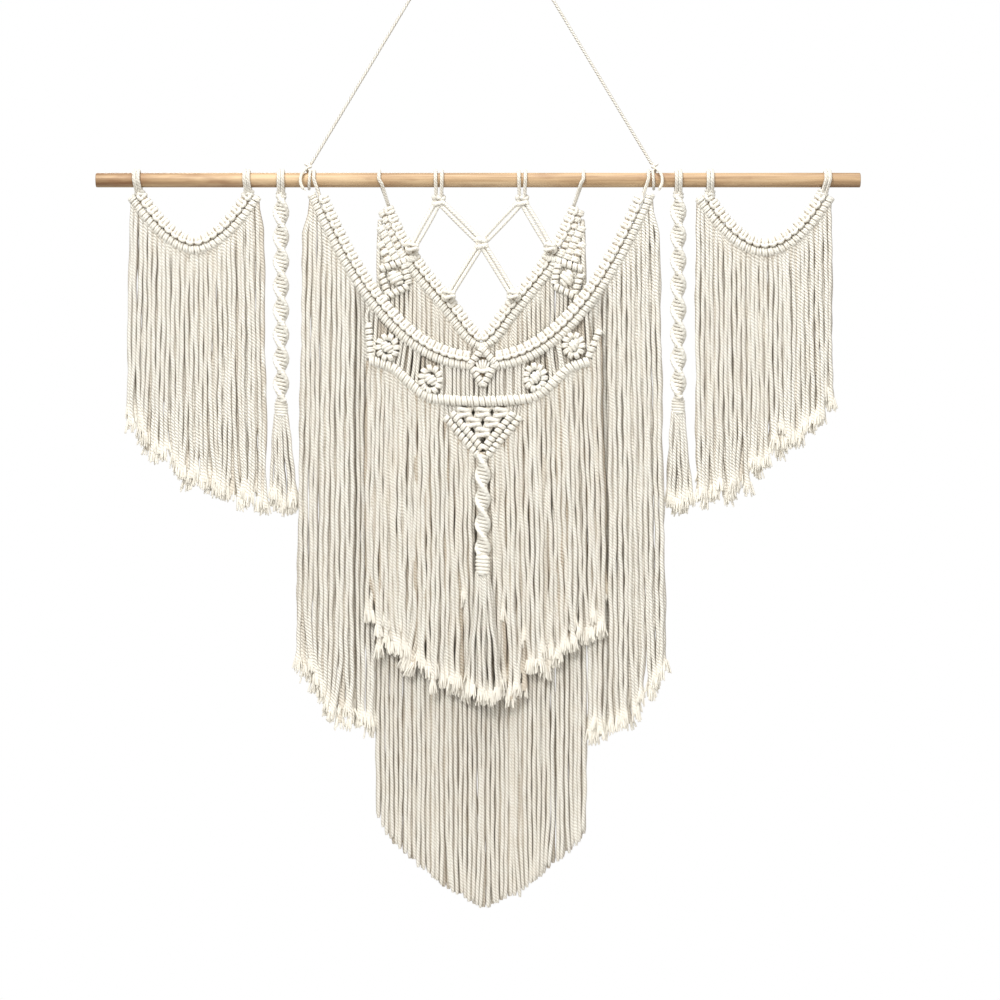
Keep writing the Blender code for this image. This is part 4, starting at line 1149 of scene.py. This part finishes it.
shapes = []
for key, (x, drop, half_wide, half_high) in LATTICE_KNOT.items():
    shapes += square_knot(x, LATTICE_Y if key == "middle" else LATTICE_TOP_Y, drop, half_wide, half_high)
for side, sign in SIDES.items():
    for x, drop in LATTICE_SEATS.values():
        shapes += square_knot(sign * x, LATTICE_Y, drop, *LATTICE_SEAT_KNOT)
    top, centre = LATTICE_KNOT[side][:2], LATTICE_KNOT["middle"][:2]
    runs = (
        (top, LATTICE_TOP_Y, LATTICE_SEATS["upper"]),
        (top, LATTICE_TOP_Y, (sign * centre[0], centre[1])),
        (centre, LATTICE_Y, LATTICE_SEATS["lower"]),
    )
    for start, start_y, end in runs:
        shapes += doubled(np.array(start), start_y, mirrored(np.array(end), sign))
    for s in (-1, 1):
        over, below = top[0] + s * 4.2, top[0] + s * 3.2
        shapes.append(rod_loop(over, below, LATTICE_TOP_Y, LATTICE_LOOP_DROP, 2.3))
corded("lattice_cords", shapes, "lattice")

# ---------------------------------------------------------------- apron
# Under the swag: four rosettes and a diamond of hitched bars round berry knots, short upright edges, and
# the long lower bar that carries the front fringe. A triangle of square knots, closed by two sloping
# double rows, hangs below its middle.

APRON_ENDS = (-150.0, 156.0)
APRON_TIPS = (-153.0, 165.0)
APRON_TIP_DROPS = (
    (-154, 580), (-143, 597), (-126, 624), (-103, 632), (-87, 645), (-58, 663), (-38, 673), (-12, 677),
    (24, 681), (44, 677), (58, 667), (76, 653), (93, 639), (118, 618), (141, 606), (166, 584),
)
# The back layer's tone above 1 darkens its cords with painted shade.
APRON_LAYERS = ((6.0, 0.0, 2.8, 8, 0.75), (5.7, 3.4, 3.3, 6, 1.34))
APRON_RAGGED = 7.5
APRON_BAR = (-147.0, 141.5)
APRON_BAR_HALF = 6.8
EDGE_ROOTS = ((141.0, 0.0), (156.0, -38.0))  # past the bar, strands hang from the upright row, this far up
EDGE_BARS = {  # both ends of the upright rows at the apron's sides
    "left": ((-147.5, 187.0), (-144.5, 234.0)),
    "right": ((155.5, 196.0), (140.0, 233.0)),
}
EDGE_LOOP = ((-139.5, 166.5), (-145.5, 168.0), (-149.5, 176.0), (-149.0, 188.0))
TRIANGLE_HALF = 50.0
TRIANGLE_ROWS = (((41.0, 304.0), (0.5, 352.5)), ((50.0, 309.5), (5.5, 361.5)))
TRIANGLE_KNOTS = ((3, 304.0), (2, 317.0), (1, 330.0))
TRIANGLE_KNOT_PITCH = 24.5
TRIANGLE_RUNS = (33.5, 38.5, 43.5, 48.5, 53.0)  # X of the strands that run into its sloping rows
CENTRE_GAP = 11.5  # half width of the gap in the front layer, where the centre spiral hangs
SHORT_STRANDS = (  # X and drop of three ends that stop far above their neighbours'
    (-26.5, 557.0), (30.0, 579.0), (61.0, 610.0),
)


def diamond(x):
    """The diamond under the swag's middle: four hitched bars, of which the upper two cross at the top, five
    cords drawn together in its middle, one laid across them, and the filler cords behind."""
    corners = np.array([(x, 221.0), (x - 16.5, 241.5), (x, 269.0), (x + 16.5, 241.5)])
    shapes = []
    for k, (start, end) in enumerate(zip(corners, np.roll(corners, -1, 0))):
        past = unit(end - start) * (5.0 if k == 3 else 1.5)
        y = FRONT_Y - (2.2 if k % 3 else 3.4)
        shapes += hitches(straight(start - past, end + past / 3), y, 5.4, 5.9, pitch=6.6)
    share = np.linspace(-1, 1, 5)[:, None]
    t = np.linspace(0, 1, 10)
    y = FRONT_Y - 3.0 - 2.5 * np.sin(math.pi * t)
    crown = place(x + share * (8.5 - 5.0 * t), y, 236 + 2.5 * share**2 + 13 * t)
    shapes.append(tubes(crown, 1.9 - 0.4 * t, 6, tone=0.1, ply=0.4))
    share = np.linspace(-1, 1, 14)
    bar = place(x + 9.5 * share, FRONT_Y - 6.0 + 2.0 * share**2, 250.5 - 3.5 * share**2)
    shapes.append(tubes(bar, 2.8, tone=0.1, ply=0.4))
    # The filler cords behind are darkened brown with painted shade.
    fillers = place(x, FRONT_Y + 1.0, [232, 245, 262])
    return shapes + [tubes(fillers, [8.0, 13.0, 4.0], tone=1.7, flat=0.25)]


def in_and_out(x, y, drop):
    """The four cords that run into a square knot from above, and out of it below, spreading from it."""
    aside = np.array([[-4.0], [4.0], [-7.5], [7.5]])
    t = np.linspace(0, 1, 6)
    shapes = []
    for top, foot, spread in ((-10.0, 0.0, 1 - t), (0.0, 13.0, t)):
        runs = place(x + aside * (1 + 0.7 * spread), y, drop + top + (foot - top) * t)
        shapes.append(tubes(runs, 2.3, tone=0.25, ply=0.5))
    return shapes


def beside_triangle(x):
    """Where the apron's own strands are, and not the triangle's."""
    return np.abs(x - DIAMOND_X) > TRIANGLE_HALF


for side, ends in EDGE_BARS.items():
    shapes = hitches(straight(*ends), FRONT_Y, 5.4, 5.6, slant=0.4)
    if side == "left":
        loop = smooth_route(at_depth(np.array(EDGE_LOOP), FRONT_Y), 24)
        shapes.append(tubes(loop, 2.5, tone=0.15))
    corded(f"apron_{side}_edge_bar", shapes, f"apron_{side}_edge")

for key, (x, drop, half, high) in ROSETTES.items():
    around = np.linspace(0, 2 * math.pi, 121) + 0.3
    route = np.stack([x + (half - 4.6) * np.cos(around), drop + (high - 4.6) * np.sin(around)], 1)
    shapes = hitches(route, FRONT_Y - 1.8, 5.2, 6.0, pitch=8.0, slant=0.5, paired=0.05)
    shapes.append(berry(x, FRONT_Y - 3.6, drop, 7.0, 9.0, 6.6, 0.7 if x < 0 else -0.7))
    corded(f"rosette_{key}", shapes, f"apron_rosette_{key}")

corded("diamond_knots", diamond(DIAMOND_X), "apron_diamond")

x = np.linspace(*APRON_BAR, 160)
route = np.stack([x, under_row(lambda x: apron_top(x) + APRON_BAR_HALF - LOWER_ROW, x)], 1)
shapes = hitches(route, FRONT_Y, 7.2, 6.8, slant=1.0)
for x, behind, cord in layered(*APRON_ENDS, APRON_LAYERS, beside_triangle, 0.9):
    tip_x = spread_tips(x, *APRON_ENDS, *APRON_TIPS)
    top = straight_table(EDGE_ROOTS, x) + apron_top(np.minimum(x, EDGE_ROOTS[0][0])) + APRON_BAR_HALF
    tips = ragged(APRON_TIP_DROPS, tip_x, APRON_RAGGED)
    shapes += strands(x, top, tip_x, tips, FRONT_Y, FRONT_Y + behind, wave=1.2, **cord)
corded("apron_strands", shapes, "apron_fringe")

shapes = []
for row, (count, drop) in enumerate(TRIANGLE_KNOTS):
    for k in range(count):
        x = DIAMOND_X + (k - (count - 1) / 2) * TRIANGLE_KNOT_PITCH
        y = FRONT_Y + 1.5 + 0.3 * row
        shapes += square_knot(x, y, drop, 10.6, 6.6, 5.8) + in_and_out(x, y + 1.5, drop)
corded("triangle_knots", shapes, "apron_triangle")

shapes = []
for sign in SIDES.values():
    for row, (start, end) in enumerate(TRIANGLE_ROWS):
        route = mirrored(straight(start, end), sign) + np.array([DIAMOND_X, 0.0])
        shapes += hitches(route, FRONT_Y - 0.4 * row - 0.2 * sign, 5.4, 5.9, pitch=7.4, paired=0.05)
    t = np.linspace(0, 1, 6)
    start = np.array(TRIANGLE_RUNS)[:, None]
    runs = place(sign * (start - 3.0 * t) + DIAMOND_X, FRONT_Y + 1.5, 292.0 + 22.0 * t)
    shapes.append(tubes(runs, 2.4, tone=0.3))
outer_row = TRIANGLE_ROWS[1][::-1]
for pitch, behind, thick, sides, tone in APRON_LAYERS:
    x = strand_places(DIAMOND_X - TRIANGLE_HALF, DIAMOND_X + TRIANGLE_HALF + 2.0, pitch)
    tips = ragged(APRON_TIP_DROPS, x, APRON_RAGGED)
    if behind == 0:
        for short_x, short_drop in SHORT_STRANDS:
            tips[np.argmin(np.abs(x - short_x))] = short_drop
        x, tips = (w[np.abs(x - DIAMOND_X) > CENTRE_GAP] for w in (x, tips))
    top = straight_table(outer_row, np.abs(x - DIAMOND_X)) + 2.0
    tip_x = spread_tips(x, *APRON_ENDS, *APRON_TIPS)
    deep = FRONT_Y + behind + 0.8 * chance.standard_normal(len(x))
    shapes += strands(x, top, tip_x, tips, FRONT_Y, deep, thick, sides, tone=tone, wave=1.2)
corded("triangle_strands", shapes, "apron_triangle_fringe")

# ---------------------------------------------------------------- centre spiral
# From the triangle's tip a sinnet of half knots hangs in front of the fringe, with a wrapped knot and the
# front tassel.

CENTRE_SPIRAL_Y, CENTRE_TASSEL_Y = -12.5, -14.5
CENTRE_TOP, CENTRE_SPIRAL_END, CENTRE_KNOT_END, CENTRE_TASSEL_END = 360.0, 492.0, 515.5, 682.0  # drops
CENTRE_TIPS = (-18.0, 28.0)

shapes = sinnet(DIAMOND_X, CENTRE_SPIRAL_Y, CENTRE_TOP, CENTRE_SPIRAL_END, 0.6)
corded("spiral_centre_sinnet", shapes, "spiral_centre")
shapes = gathering_knot(DIAMOND_X, CENTRE_TASSEL_Y, CENTRE_SPIRAL_END, CENTRE_KNOT_END, 10.0)
shapes += tassel_strands(DIAMOND_X, CENTRE_TASSEL_Y, CENTRE_KNOT_END, CENTRE_TIPS, CENTRE_TASSEL_END)
corded("tassel_centre_strands", shapes, "tassel_centre")

low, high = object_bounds()
